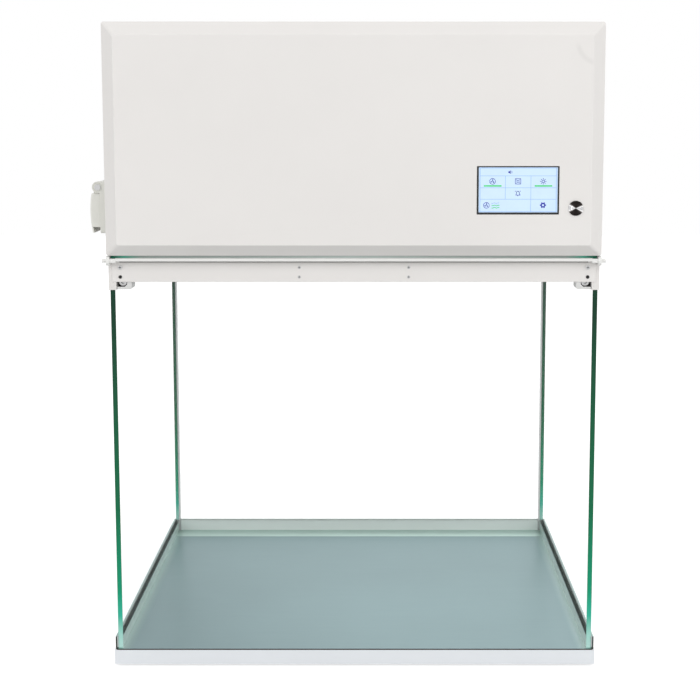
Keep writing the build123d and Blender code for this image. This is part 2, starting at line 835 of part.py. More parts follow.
# Lamp tubes, one along each side of the chamber
for side, side_name in ((-1, "left"), (1, "right")):
    with BuildPart() as lamp_tube:
        with BuildSketch(at_y(tube_front_y)):
            with Locations((side * lamp_axis_x, lamp_axis_z)):
                Circle(lamp_glass_radius)
        extrude(amount=-lamp_tube_length)
        for cap_y in (tube_front_y, tube_rear_y - lamp_cap_length):
            with BuildSketch(at_y(cap_y)):
                with Locations((side * lamp_axis_x, lamp_axis_z)):
                    Circle(lamp_tube_radius)
            extrude(amount=-lamp_cap_length)
        for pin_y in (tube_front_y - lamp_pin_length, tube_rear_y):
            with BuildSketch(at_y(pin_y)):
                for pin_rise in (-lamp_pin_spacing / 2, lamp_pin_spacing / 2):
                    with Locations((side * lamp_axis_x, lamp_axis_z + pin_rise)):
                        Circle(lamp_pin_radius)
            extrude(amount=-lamp_pin_length)
    lamp_tube.part.label = f"{side_name}_lamp_tube"
    export_step(lamp_tube.part, f"parts/{side_name}_lamp_tube.step")

# Places of the screws that clamp the top panel to the shell's upper flange
panel_screw_x = shell_half_width - top_screw_inset
panel_screw_ys = (shell_front_y + top_screw_front_inset, shell_mid_y, shell_rear_y - top_screw_rear_inset)
panel_places = [facing_up(s * panel_screw_x, y, housing_top_z) for s in (-1, 1) for y in panel_screw_ys]

# Fan and filter housing: a welded shell with a floor flange that carries the filter
with BuildPart() as housing_shell:
    with BuildSketch(Plane.XY.offset(housing_bottom_z)):
        with Locations((0, shell_mid_y)):
            RectangleRounded(2 * shell_half_width, shell_depth, housing_corner_radius)
    extrude(amount=shell_top_z - housing_bottom_z)
    with BuildSketch(Plane.XY.offset(flange_top_z)):
        with Locations((0, shell_mid_y)):
            RectangleRounded(
                2 * shell_inner_x,
                shell_depth - 2 * housing_sheet,
                housing_corner_radius - housing_sheet,
            )
    extrude(amount=shell_top_z - housing_sheet - flange_top_z, mode=Mode.SUBTRACT)
    with BuildSketch(Plane.XY.offset(housing_bottom_z)):
        with Locations((0, shell_mid_y)):
            Rectangle(2 * opening_half_width, opening_depth)
    extrude(amount=housing_sheet, mode=Mode.SUBTRACT)
    with BuildSketch(Plane.XY.offset(shell_top_z)):
        with Locations((0, shell_mid_y)):
            Rectangle(2 * (shell_inner_x - top_flange), shell_depth - 2 * housing_sheet - 2 * top_flange)
    extrude(amount=-housing_sheet, mode=Mode.SUBTRACT)
    with Locations(*panel_places):
        Hole(top_screw_shank_radius, 2 * housing_sheet)
    with BuildSketch(Plane.YZ.offset(socket_wall_x)):
        with Locations((socket_y, socket_centre_z)):
            Circle(socket_insert_radius + socket_insert_clearance)
    extrude(amount=housing_sheet, mode=Mode.SUBTRACT)
    with BuildSketch(at_y(shell_rear_y)):
        with Locations((inlet_x, inlet_z)):
            Rectangle(
                inlet_body_width + 2 * inlet_cutout_gap, inlet_body_height + 2 * inlet_cutout_gap
            )
    extrude(amount=housing_sheet, mode=Mode.SUBTRACT)
    with BuildSketch(Plane.YZ.offset(-shell_half_width)):
        with Locations(*[(cover_screw_y, housing_bottom_z + rise) for rise in cover_screw_rises]):
            Circle(cover_screw_shank_radius + screw_hole_clearance)
    extrude(amount=2 * shell_half_width, mode=Mode.SUBTRACT)
housing_shell.part.label = "housing_shell"
export_step(housing_shell.part, "parts/housing_shell.step")

# Top panel with the round fan intake
with BuildPart() as top_panel:
    with BuildSketch(Plane.XY.offset(shell_top_z)):
        with Locations((0, shell_mid_y)):
            RectangleRounded(2 * shell_half_width, shell_depth, housing_corner_radius)
        with Locations((0, fan_y)):
            Circle(inlet_hole_radius, mode=Mode.SUBTRACT)
    extrude(amount=housing_sheet)
    with Locations(*panel_places):
        Hole(top_screw_shank_radius + screw_hole_clearance, housing_sheet)
top_panel.part.label = "top_panel"
export_step(top_panel.part, "parts/top_panel.step")

# Screws that clamp the top panel to the flange of the shell
with BuildPart() as top_panel_screws:
    with Locations(*panel_places):
        screw(
            top_screw_head_radius,
            top_screw_head_height,
            top_screw_shank_radius,
            top_screw_shank_length,
        )
    chamfer(top_panel_screws.edges().group_by(Axis.Z)[-1], top_screw_head_chamfer)
top_panel_screws.part.label = "top_panel_screws"
export_step(top_panel_screws.part, "parts/top_panel_screws.step")

# Front cover: a folded pan whose four sides are bevelled, wrapped round the top and sides of the shell
with BuildPart() as front_cover:
    face_low_z = housing_bottom_z + cover_bevel_bottom
    face_high_z = cover_top_z - cover_bevel_side
    face_half = cover_half_width - cover_bevel_side
    inner_back_y = cover_rim_y + cover_return_depth
    # The outside first, then the same form a sheet's thickness smaller is taken out of it
    for inset, bend_shift, mode in ((0.0, 0.0, Mode.ADD), (cover_sheet, cover_bend_shift, Mode.SUBTRACT)):
        rim_y = cover_rim_y + bend_shift
        with BuildSketch(at_y(rim_y)) as rim_outline:
            rim_half = cover_half_width - inset
            span_rectangle(-rim_half, rim_half, housing_bottom_z + inset, cover_top_z - inset)
            fillet(rim_outline.vertices(), cover_corner_radius - inset)
        with BuildSketch(at_y(cover_face_y + inset)) as face_outline:
            half = face_half - bend_shift
            span_rectangle(-half, half, face_low_z + bend_shift, face_high_z - bend_shift)
            fillet(face_outline.vertices(), cover_corner_radius - inset)
        loft(mode=mode)
        with BuildSketch(at_y(rim_y)) as return_outline:
            span_rectangle(-rim_half, rim_half, housing_bottom_z + inset, cover_top_z - inset)
            fillet(return_outline.vertices(), cover_corner_radius - inset)
        extrude(amount=-(inner_back_y - rim_y), mode=mode)
        if mode == Mode.ADD:
            fillet(front_cover.faces().sort_by(Axis.Y)[0].edges(), cover_bend_radius)
            rim_edges = front_cover.edges().filter_by_position(Axis.Y, rim_y, rim_y)
            fillet(rim_edges, cover_rim_radius)
    # The lower return is left off, so that the sash can slide down behind the rim
    with BuildSketch(at_y(cover_rim_y)):
        gap_half = cover_half_width - cover_sheet
        span_rectangle(-gap_half, gap_half, housing_bottom_z, housing_bottom_z + cover_corner_radius)
    extrude(amount=-cover_return_depth, mode=Mode.SUBTRACT)
    with BuildSketch(at_y(cover_face_y)):
        with Locations((display_centre_x, display_z)):
            RectangleRounded(
                display_width + 2 * display_fit_gap,
                display_height + 2 * display_fit_gap,
                display_corner_radius,
            )
        with Locations((button_x, button_z)):
            Circle(button_barrel_radius + button_hole_clearance)
    extrude(amount=-cover_sheet, mode=Mode.SUBTRACT)
    for side in (-1, 1):
        sink_x = side * (cover_half_width - cover_sheet / 2)
        with Locations(*[(sink_x, cover_screw_y, housing_bottom_z + rise) for rise in cover_screw_rises]):
            Cone(
                cover_screw_shank_radius + screw_hole_clearance,
                cover_screw_head_radius + screw_hole_clearance,
                cover_sheet,
                rotation=(0, 90 * side, 0),
                mode=Mode.SUBTRACT,
            )
front_cover.part.label = "front_cover"
export_step(front_cover.part, "parts/front_cover.step")

# Countersunk screws in the sides of the cover
with BuildPart() as cover_screws:
    for side in (-1, 1):
        head_x = side * (cover_half_width - cover_sheet / 2)
        shank_x = side * (cover_half_width - cover_sheet - (cover_screw_length - cover_sheet) / 2)
        with Locations(*[(head_x, cover_screw_y, housing_bottom_z + rise) for rise in cover_screw_rises]):
            Cone(cover_screw_shank_radius, cover_screw_head_radius, cover_sheet, rotation=(0, 90 * side, 0))
        with Locations(*[(shank_x, cover_screw_y, housing_bottom_z + rise) for rise in cover_screw_rises]):
            Cylinder(cover_screw_shank_radius, cover_screw_length - cover_sheet, rotation=(0, 90, 0))
cover_screws.part.label = "cover_screws"
export_step(cover_screws.part, "parts/cover_screws.step")

# Intake grille over the fan opening, a shallow pressed lid with slots
with BuildPart() as intake_grille:
    with BuildSketch(Plane.XY.offset(housing_top_z)):
        with Locations((0, fan_y)):
            RectangleRounded(grille_width, grille_width, grille_corner_radius)
    extrude(amount=grille_rise)
    fillet(intake_grille.faces().sort_by(Axis.Z)[-1].edges(), grille_sheet + grille_bend_radius)
    offset(amount=-grille_sheet, openings=[intake_grille.faces().sort_by(Axis.Z)[0]])
    with BuildSketch(Plane.XY.offset(housing_top_z)):
        with Locations((0, fan_y)):
            with GridLocations(grille_column_pitch, grille_row_pitch, grille_columns, grille_rows):
                SlotOverall(grille_slot_length, grille_slot_width)
    extrude(amount=grille_rise, mode=Mode.SUBTRACT)
intake_grille.part.label = "intake_grille"
export_step(intake_grille.part, "parts/intake_grille.step")

# Prefilter mat that lies under the grille
with BuildPart() as prefilter_mat:
    mat_width = grille_width - 2 * grille_sheet - 2 * mat_gap
    with BuildSketch(Plane.XY.offset(housing_top_z)):
        with Locations((0, fan_y)):
            RectangleRounded(mat_width, mat_width, grille_corner_radius - grille_sheet)
    extrude(amount=mat_thickness)
prefilter_mat.part.label = "prefilter_mat"
export_step(prefilter_mat.part, "parts/prefilter_mat.step")

# Bell-mouth ring that leads the air into the impeller's eye
with BuildPart() as fan_inlet_ring:
    with BuildSketch(at_y(fan_y)):
        with BuildLine():
            ring_edge_x = inlet_hole_radius + inlet_flange_width
            ring_bend_x = inlet_hole_radius
            Line((ring_edge_x, shell_top_z), (ring_bend_x, shell_top_z))
            CenterArc((ring_bend_x, throat_bottom_z), inlet_bend_radius, 90, 90)
            Line(
                (inlet_throat_radius, throat_bottom_z),
                (inlet_throat_radius + inlet_sheet, throat_bottom_z),
            )
            CenterArc((ring_bend_x, throat_bottom_z), inlet_bend_radius - inlet_sheet, 90, 90)
            Line((ring_bend_x, shell_top_z - inlet_sheet), (ring_edge_x, shell_top_z - inlet_sheet))
            Line((ring_edge_x, shell_top_z - inlet_sheet), (ring_edge_x, shell_top_z))
        make_face()
    revolve(axis=Axis((0, fan_y, 0), (0, 0, 1)))
fan_inlet_ring.part.label = "fan_inlet_ring"
export_step(fan_inlet_ring.part, "parts/fan_inlet_ring.step")

# Impeller: backward-curved blades between a back plate and a shroud with a drawn neck
with BuildPart() as impeller:
    with BuildSketch(Plane.XY.offset(back_plate_z)):
        with Locations((0, fan_y)):
            Circle(impeller_radius)
            Circle(rotor_radius + rotor_plate_clearance, mode=Mode.SUBTRACT)
    extrude(amount=impeller_back_plate)
    with BuildSketch(Plane((0, fan_y, back_plate_top_z - impeller_back_plate / 2))):
        blade_mid_radius = (blade_inner_radius + blade_outer_radius) / 2
        blade_mid_angle = radians(-blade_mid_share * blade_sweep)
        blade_end_angle = radians(-blade_sweep)
        blade_line = Edge.make_three_point_arc(
            (blade_inner_radius, 0),
            (blade_mid_radius * cos(blade_mid_angle), blade_mid_radius * sin(blade_mid_angle)),
            (blade_outer_radius * cos(blade_end_angle), blade_outer_radius * sin(blade_end_angle)),
        )
        with PolarLocations(0, blade_count):
            SlotArc(blade_line, blade_thickness)
    extrude(amount=impeller_width + impeller_back_plate / 2 + impeller_sheet / 2)
    with BuildSketch(at_y(fan_y)):
        with BuildLine():
            bend_x = neck_radius + shroud_bend_radius
            bend_z = shroud_z + shroud_bend_radius
            Line((impeller_radius, shroud_z), (bend_x, shroud_z))
            CenterArc((bend_x, bend_z), shroud_bend_radius, 180, 90)
            Line((neck_radius, bend_z), (neck_radius, neck_top_z))
            Line((neck_radius, neck_top_z), (neck_radius + impeller_sheet, neck_top_z))
            Line((neck_radius + impeller_sheet, neck_top_z), (neck_radius + impeller_sheet, bend_z))
            CenterArc((bend_x, bend_z), shroud_bend_radius - impeller_sheet, 180, 90)
            Line((bend_x, shroud_z + impeller_sheet), (impeller_radius, shroud_z + impeller_sheet))
            Line((impeller_radius, shroud_z + impeller_sheet), (impeller_radius, shroud_z))
        make_face()
    revolve(axis=Axis((0, fan_y, 0), (0, 0, 1)))
impeller.part.label = "impeller"
export_step(impeller.part, "parts/impeller.step")

# Rotor can of the external-rotor motor, with a flange that carries the impeller's back plate
with BuildPart() as motor_rotor:
    with BuildSketch(Plane((0, fan_y, rotor_bottom_z))):
        Circle(rotor_radius)
    extrude(amount=rotor_height)
    with BuildSketch(Plane((0, fan_y, back_plate_z - rotor_flange_height))):
        Circle(rotor_flange_radius)
    extrude(amount=rotor_flange_height)
    fillet(motor_rotor.edges().group_by(Axis.Z)[-1], rotor_wall)
    with BuildSketch(Plane((0, fan_y, rotor_bottom_z))):
        Circle(rotor_radius - rotor_wall)
    extrude(amount=rotor_height - rotor_wall, mode=Mode.SUBTRACT)
    with BuildSketch(Plane((0, fan_y, rotor_bottom_z))):
        Circle(shaft_radius + shaft_clearance)
    extrude(amount=rotor_height, mode=Mode.SUBTRACT)
motor_rotor.part.label = "motor_rotor"
export_step(motor_rotor.part, "parts/motor_rotor.step")

# Stator with its mounting flange and the shaft that the rotor turns on
with BuildPart() as motor_stator:
    with BuildSketch(Plane((0, fan_y, bracket_web_top_z))):
        Circle(stator_flange_radius)
    extrude(amount=stator_flange_height)
    with BuildSketch(Plane((0, fan_y, stator_low_z))):
        Circle(rotor_radius - rotor_wall - stator_air_gap)
    extrude(amount=stator_top_z - stator_low_z)
    with BuildSketch(Plane((0, fan_y, stator_top_z))):
        Circle(shaft_radius)
    extrude(amount=rotor_top_z + shaft_proud - stator_top_z)
motor_stator.part.label = "motor_stator"
export_step(motor_stator.part, "parts/motor_stator.step")

# Strap bracket that hangs the fan from the top panel
with BuildPart() as fan_bracket:
    with BuildSketch(at_y(fan_y - fan_bracket_width / 2)):
        leg_x = fan_bracket_half_span
        foot_x = fan_bracket_half_span + fan_bracket_foot
        web_low_z = bracket_web_top_z - fan_bracket_sheet
        foot_low_z = shell_top_z - fan_bracket_sheet
        span_rectangle(-leg_x, leg_x, web_low_z, bracket_web_top_z)
        for side in (-1, 1):
            leg_low_x = min(side * leg_x, side * (leg_x - fan_bracket_sheet))
            span_rectangle(leg_low_x, leg_low_x + fan_bracket_sheet, web_low_z, shell_top_z)
            foot_low_x = min(side * leg_x, side * foot_x)
            span_rectangle(foot_low_x, foot_low_x + fan_bracket_foot, foot_low_z, shell_top_z)
    extrude(amount=-fan_bracket_width)
fan_bracket.part.label = "fan_bracket"
export_step(fan_bracket.part, "parts/fan_bracket.step")

# Gasket between the housing's floor flange and the filter
with BuildPart() as filter_gasket:
    with BuildSketch(Plane((0, shell_mid_y, flange_top_z))):
        gasket_half_width = filter_half_width - filter_gasket_inset
        gasket_depth = filter_depth - 2 * filter_gasket_inset
        Rectangle(2 * gasket_half_width, gasket_depth)
        Rectangle(
            2 * (filter_half_width - filter_wall + filter_gasket_inset),
            filter_depth - 2 * (filter_wall - filter_gasket_inset),
            mode=Mode.SUBTRACT,
        )
    extrude(amount=filter_gasket_thickness)
filter_gasket.part.label = "filter_gasket"
export_step(filter_gasket.part, "parts/filter_gasket.step")

# Aluminium frame of the main filter
with BuildPart() as filter_frame:
    with BuildSketch(Plane((0, shell_mid_y, filter_bottom_z))):
        Rectangle(2 * filter_half_width, filter_depth)
        Rectangle(
            2 * (filter_half_width - filter_wall), filter_depth - 2 * filter_wall, mode=Mode.SUBTRACT
        )
    extrude(amount=filter_height)
filter_frame.part.label = "filter_frame"
export_step(filter_frame.part, "parts/filter_frame.step")

# Pleated filter paper, folded back and forth across the width of the frame
with BuildPart() as filter_pleats:
    pleat_half_width = filter_half_width - filter_wall - pleat_edge_gap
    pleat_pitch = pleat_half_width / pleat_count
    pleat_low_z = filter_bottom_z + (filter_height - pleat_depth) / 2
    # The paper is nearly upright, so its upper side lies this far above its lower side
    paper_rise = pleat_thickness * pleat_depth / pleat_pitch
    fold_points = []
    for fold in range(2 * pleat_count + 1):
        fold_z = pleat_low_z + (pleat_depth - paper_rise if fold % 2 else 0.0)
        fold_points.append((-pleat_half_width + fold * pleat_pitch, fold_z))
    return_points = [(x, z + paper_rise) for x, z in reversed(fold_points)]
    pleat_front_y = shell_mid_y - filter_depth / 2 + filter_wall + pleat_edge_gap
    with BuildSketch(at_y(pleat_front_y)):
        with BuildLine():
            Polyline(*fold_points, *return_points, close=True)
        make_face()
    extrude(amount=-(filter_depth - 2 * filter_wall - 2 * pleat_edge_gap))
filter_pleats.part.label = "filter_pleats"
export_step(filter_pleats.part, "parts/filter_pleats.step")

# Slotted diffuser under the filter, the ceiling of the chamber
with BuildPart() as diffuser_plate:
    diffuser_half_width = opening_half_width + diffuser_side_margin
    diffuser_depth = opening_depth + 2 * diffuser_end_margin
    with BuildSketch(Plane((0, shell_mid_y, diffuser_bottom_z))):
        Rectangle(2 * diffuser_half_width, diffuser_depth)
    extrude(amount=diffuser_height)
    offset(amount=-diffuser_sheet, openings=[diffuser_plate.faces().sort_by(Axis.Z)[-1]])
    with BuildSketch(Plane((0, shell_mid_y, diffuser_bottom_z))):
        slot_pitch_x = 2 * opening_half_width / diffuser_columns
        slot_pitch_y = opening_depth / diffuser_rows
        with GridLocations(slot_pitch_x, slot_pitch_y, diffuser_columns, diffuser_rows):
            Rectangle(diffuser_slot_share_x * slot_pitch_x, diffuser_slot_width)
    extrude(amount=diffuser_sheet, mode=Mode.SUBTRACT)
diffuser_plate.part.label = "diffuser_plate"
export_step(diffuser_plate.part, "parts/diffuser_plate.step")

# Control board on the right wall of the housing
with BuildPart() as control_board:
    board_x = shell_inner_x - standoff_length
    board_z = housing_bottom_z + board_rise
    with BuildSketch(Plane.YZ.offset(board_x)):
        with Locations((board_y, board_z)):
            Rectangle(board_width, board_height)
    extrude(amount=-board_thickness_pcb)
    with BuildSketch(Plane.YZ.offset(board_x - board_thickness_pcb)):
        with Locations((board_y - choke_across, board_z + choke_up)):
            Rectangle(choke_length, choke_width)
        with Locations((board_y + relay_across, board_z - relay_down)):
            with GridLocations(relay_pitch, 0, 2, 1):
                Rectangle(relay_length, relay_width)
    extrude(amount=-tall_part_rise)
    with BuildSketch(Plane.YZ.offset(board_x - board_thickness_pcb)):
        with Locations((board_y - chip_across, board_z - chip_down)):
            Rectangle(chip_width, chip_width)
        with Locations((board_y + plug_row_across, board_z + plug_row_up)):
            Rectangle(plug_row_length, plug_row_width)
    extrude(amount=-low_part_rise)
control_board.part.label = "control_board"
export_step(control_board.part, "parts/control_board.step")

# Standoffs that carry the control board
with BuildPart() as board_standoffs:
    with BuildSketch(Plane.YZ.offset(shell_inner_x)):
        with Locations((board_y, board_z)):
            with GridLocations(board_width - 2 * standoff_inset, board_height - 2 * standoff_inset, 2, 2):
                Circle(standoff_radius)
    extrude(amount=-standoff_length)
board_standoffs.part.label = "board_standoffs"
export_step(board_standoffs.part, "parts/board_standoffs.step")

# Power supply on the right wall
with BuildPart() as power_supply:
    with BuildSketch(Plane.YZ.offset(shell_inner_x)):
        with Locations((supply_y, housing_bottom_z + supply_rise)):
            Rectangle(supply_length, supply_height)
    extrude(amount=-supply_depth)
    chamfer(power_supply.edges().group_by(Axis.X)[0], supply_edge_chamfer)
power_supply.part.label = "power_supply"
export_step(power_supply.part, "parts/power_supply.step")

# Lamp ballast on the left wall
with BuildPart() as lamp_ballast:
    with BuildSketch(Plane.YZ.offset(-shell_inner_x)):
        with Locations((ballast_y, housing_bottom_z + ballast_rise)):
            Rectangle(ballast_length, ballast_height)
    extrude(amount=ballast_depth)
    fillet(lamp_ballast.edges().group_by(Axis.X)[-1], ballast_edge_radius)
lamp_ballast.part.label = "lamp_ballast"
export_step(lamp_ballast.part, "parts/lamp_ballast.step")

# Bezel of the touch display, set into the cover
bezel_left_x = display_centre_x - display_width / 2
bezel_bottom_z = display_z - display_height / 2
window_left_x = bezel_left_x + display_border_left
window_right_x = bezel_left_x + display_width - display_border_right
window_bottom_z = bezel_bottom_z + display_border_bottom
window_top_z = bezel_bottom_z + display_height - display_border_top
with BuildPart() as display_bezel:
    with BuildSketch(at_y(cover_face_y)):
        with Locations((display_centre_x, display_z)):
            RectangleRounded(display_width, display_height, display_corner_radius)
        span_rectangle(window_left_x, window_right_x, window_bottom_z, window_top_z, Mode.SUBTRACT)
    extrude(amount=-display_bezel_depth)
    # A rim behind the sheet keeps the bezel in its cut-out
    with BuildSketch(at_y(cover_inner_y)):
        with Locations((display_centre_x, display_z)):
            Rectangle(display_board_width, display_board_height)
        span_rectangle(window_left_x, window_right_x, window_bottom_z, window_top_z, Mode.SUBTRACT)
    extrude(amount=-(display_bezel_depth - cover_sheet))
display_bezel.part.label = "display_bezel"
export_step(display_bezel.part, "parts/display_bezel.step")

# Screen behind the bezel's window
with BuildPart() as display_screen:
    with BuildSketch(at_y(cover_face_y + screen_recess)):
        span_rectangle(
            window_left_x + screen_gap,
            window_right_x - screen_gap,
            window_bottom_z + screen_gap,
            window_top_z - screen_gap,
        )
    extrude(amount=-(display_bezel_depth - screen_recess))
display_screen.part.label = "display_screen"
export_step(display_screen.part, "parts/display_screen.step")

# Circuit board on the back of the display
with BuildPart() as display_board:
    display_board_y = cover_face_y + display_bezel_depth
    with BuildSketch(at_y(display_board_y)):
        with Locations((display_centre_x, display_z)):
            Rectangle(display_board_width, display_board_height)
    extrude(amount=-display_board_thickness)
    with BuildSketch(at_y(display_board_y + display_board_thickness)):
        chip_reach = display_chip_spread / 2
        with Locations(
            (display_centre_x - chip_reach, display_z),
            (display_centre_x + chip_reach, display_z + display_chip_step),
        ):
            Rectangle(display_chip_width, display_chip_width)
        with Locations((display_centre_x + display_plug_across, display_z - display_plug_down)):
            Rectangle(display_plug_length, display_plug_width)
    extrude(amount=-display_chip_height)
display_board.part.label = "display_board"
export_step(display_board.part, "parts/display_board.step")

# Push-button body: chamfered head, barrel and the bore that the cap slides in
with BuildPart() as button_body:
    with BuildSketch(at_y(cover_face_y)):
        with Locations((button_x, button_z)):
            Circle(button_head_radius)
    extrude(amount=button_head_height)
    chamfer(button_body.edges().group_by(Axis.Y)[0], button_head_chamfer)
    with BuildSketch(at_y(cover_face_y)):
        with Locations((button_x, button_z)):
            Circle(button_barrel_radius)
    extrude(amount=-button_barrel_length)
    with BuildSketch(at_y(cover_face_y - button_head_height)):
        with Locations((button_x, button_z)):
            Circle(button_cap_radius + button_cap_clearance)
    extrude(amount=-(button_cap_length + button_travel + button_end_clearance), mode=Mode.SUBTRACT)
    with BuildSketch(at_y(cover_face_y + button_barrel_length - button_floor)):
        with Locations((button_x, button_z)):
            Circle(button_stem_radius + button_cap_clearance)
    extrude(amount=button_barrel_length, mode=Mode.SUBTRACT)
button_body.part.label = "button_body"
export_step(button_body.part, "parts/button_body.step")

# Dished cap of the button with its stem
with BuildPart() as button_cap:
    with BuildSketch(at_y(cover_face_y - button_head_height)):
        with Locations((button_x, button_z)):
            Circle(button_cap_radius)
    extrude(amount=-button_cap_length)
    with BuildSketch(at_y(cover_face_y - button_head_height + button_cap_length)):
        with Locations((button_x, button_z)):
            Circle(button_stem_radius)
    room_behind_cap = button_head_height + button_barrel_length - button_cap_length - button_floor
    extrude(amount=-(room_behind_cap - button_travel - button_end_clearance))
    dish_rim_radius = button_cap_radius - button_dish_rim
    dish_radius = (dish_rim_radius**2 + button_cap_dish**2) / (2 * button_cap_dish)
    dish_y = cover_face_y - button_head_height + button_cap_dish - dish_radius
    with Locations((button_x, dish_y, button_z)):
        Sphere(dish_radius, mode=Mode.SUBTRACT)
button_cap.part.label = "button_cap"
export_step(button_cap.part, "parts/button_cap.step")

# Nut that clamps the button from behind
with BuildPart() as button_nut:
    with BuildSketch(at_y(cover_inner_y)):
        with Locations((button_x, button_z)):
            RegularPolygon(button_nut_flats / 2, 6, major_radius=False)
            Circle(button_barrel_radius + button_nut_clearance, mode=Mode.SUBTRACT)
    extrude(amount=-button_nut_thickness)
button_nut.part.label = "button_nut"
export_step(button_nut.part, "parts/button_nut.step")

# Socket frame on the left side, with the hinge ears at its upper edge
socket_front_y = socket_y - socket_width / 2
socket_rear_y = socket_y + socket_width / 2
ear_inner_half = socket_width / 2 - socket_ear_length
with BuildPart() as socket_frame:
    with BuildSketch(at_y(socket_front_y)):
        span_rectangle(socket_face_x, socket_wall_x, socket_bottom_z, socket_axis_z)
        span_rectangle(
            socket_axis_x,
            socket_wall_x,
            socket_axis_z - socket_knuckle_radius,
            socket_axis_z + socket_knuckle_radius,
        )
        with Locations((socket_axis_x, socket_axis_z)):
            Circle(socket_knuckle_radius)
    extrude(amount=-socket_width)
    frame_lower_corners = socket_frame.edges().filter_by(Axis.X).group_by(Axis.Z)[0]
    fillet(frame_lower_corners, socket_corner_radius)
    with BuildSketch(at_y(socket_y - ear_inner_half)):
        with Locations((socket_axis_x, socket_axis_z)):
            Circle(socket_barrel_radius + socket_barrel_clearance)
        span_rectangle(
            socket_axis_x - 2 * socket_knuckle_radius,
            socket_face_x,
            socket_axis_z - 2 * socket_knuckle_radius,
            socket_axis_z + 2 * socket_knuckle_radius,
        )
    extrude(amount=-2 * ear_inner_half, mode=Mode.SUBTRACT)
    with BuildSketch(Plane.YZ.offset(socket_face_x)):
        with Locations((socket_y, socket_centre_z)):
            Circle(socket_insert_radius + socket_insert_clearance)
    extrude(amount=socket_frame_proud, mode=Mode.SUBTRACT)
    with BuildSketch(at_y(socket_front_y)):
        with Locations((socket_axis_x, socket_axis_z)):
            Circle(hinge_pin_radius)
    extrude(amount=-socket_width, mode=Mode.SUBTRACT)
    # A round groove about the pin on the outer face of each ear
    for groove_y in (socket_front_y, socket_rear_y - ear_groove_depth):
        with BuildSketch(at_y(groove_y)):
            with Locations((socket_axis_x, socket_axis_z)):
                Circle(ear_groove_radius)
                Circle(ear_groove_radius - ear_groove_width, mode=Mode.SUBTRACT)
        extrude(amount=-ear_groove_depth, mode=Mode.SUBTRACT)
socket_frame.part.label = "socket_frame"
export_step(socket_frame.part, "parts/socket_frame.step")

# Socket insert: the round recess with its two contact holes
with BuildPart() as socket_insert:
    with BuildSketch(Plane.YZ.offset(socket_face_x)):
        with Locations((socket_y, socket_centre_z)):
            Circle(socket_insert_radius)
    extrude(amount=socket_recess_depth + socket_insert_back)
    with BuildSketch(Plane.YZ.offset(socket_face_x)):
        with Locations((socket_y, socket_centre_z)):
            Circle(socket_recess_radius)
    extrude(amount=socket_recess_depth, mode=Mode.SUBTRACT)
    with BuildSketch(Plane.YZ.offset(socket_face_x + socket_recess_depth)):
        for pin_side in (-1, 1):
            with Locations((socket_y + pin_side * socket_pin_hole_spacing / 2, socket_centre_z)):
                Circle(socket_pin_hole_radius)
    extrude(amount=socket_pin_hole_depth, mode=Mode.SUBTRACT)
socket_insert.part.label = "socket_insert"
export_step(socket_insert.part, "parts/socket_insert.step")

# Earth clips at the top and bottom of the recess
with BuildPart() as earth_clips:
    clip_back_x = socket_face_x + socket_recess_depth
    with BuildSketch(at_y(socket_y - earth_clip_width / 2)):
        for clip_side in (-1, 1):
            clip_wall_z = socket_centre_z + clip_side * (socket_recess_radius - earth_clip_wall_gap)
            clip_low_z = min(clip_wall_z, clip_wall_z - clip_side * earth_clip_thickness)
            clip_high_z = clip_low_z + earth_clip_thickness
            span_rectangle(clip_back_x - earth_clip_length, clip_back_x, clip_low_z, clip_high_z)
    extrude(amount=-earth_clip_width)
earth_clips.part.label = "earth_clips"
export_step(earth_clips.part, "parts/earth_clips.step")

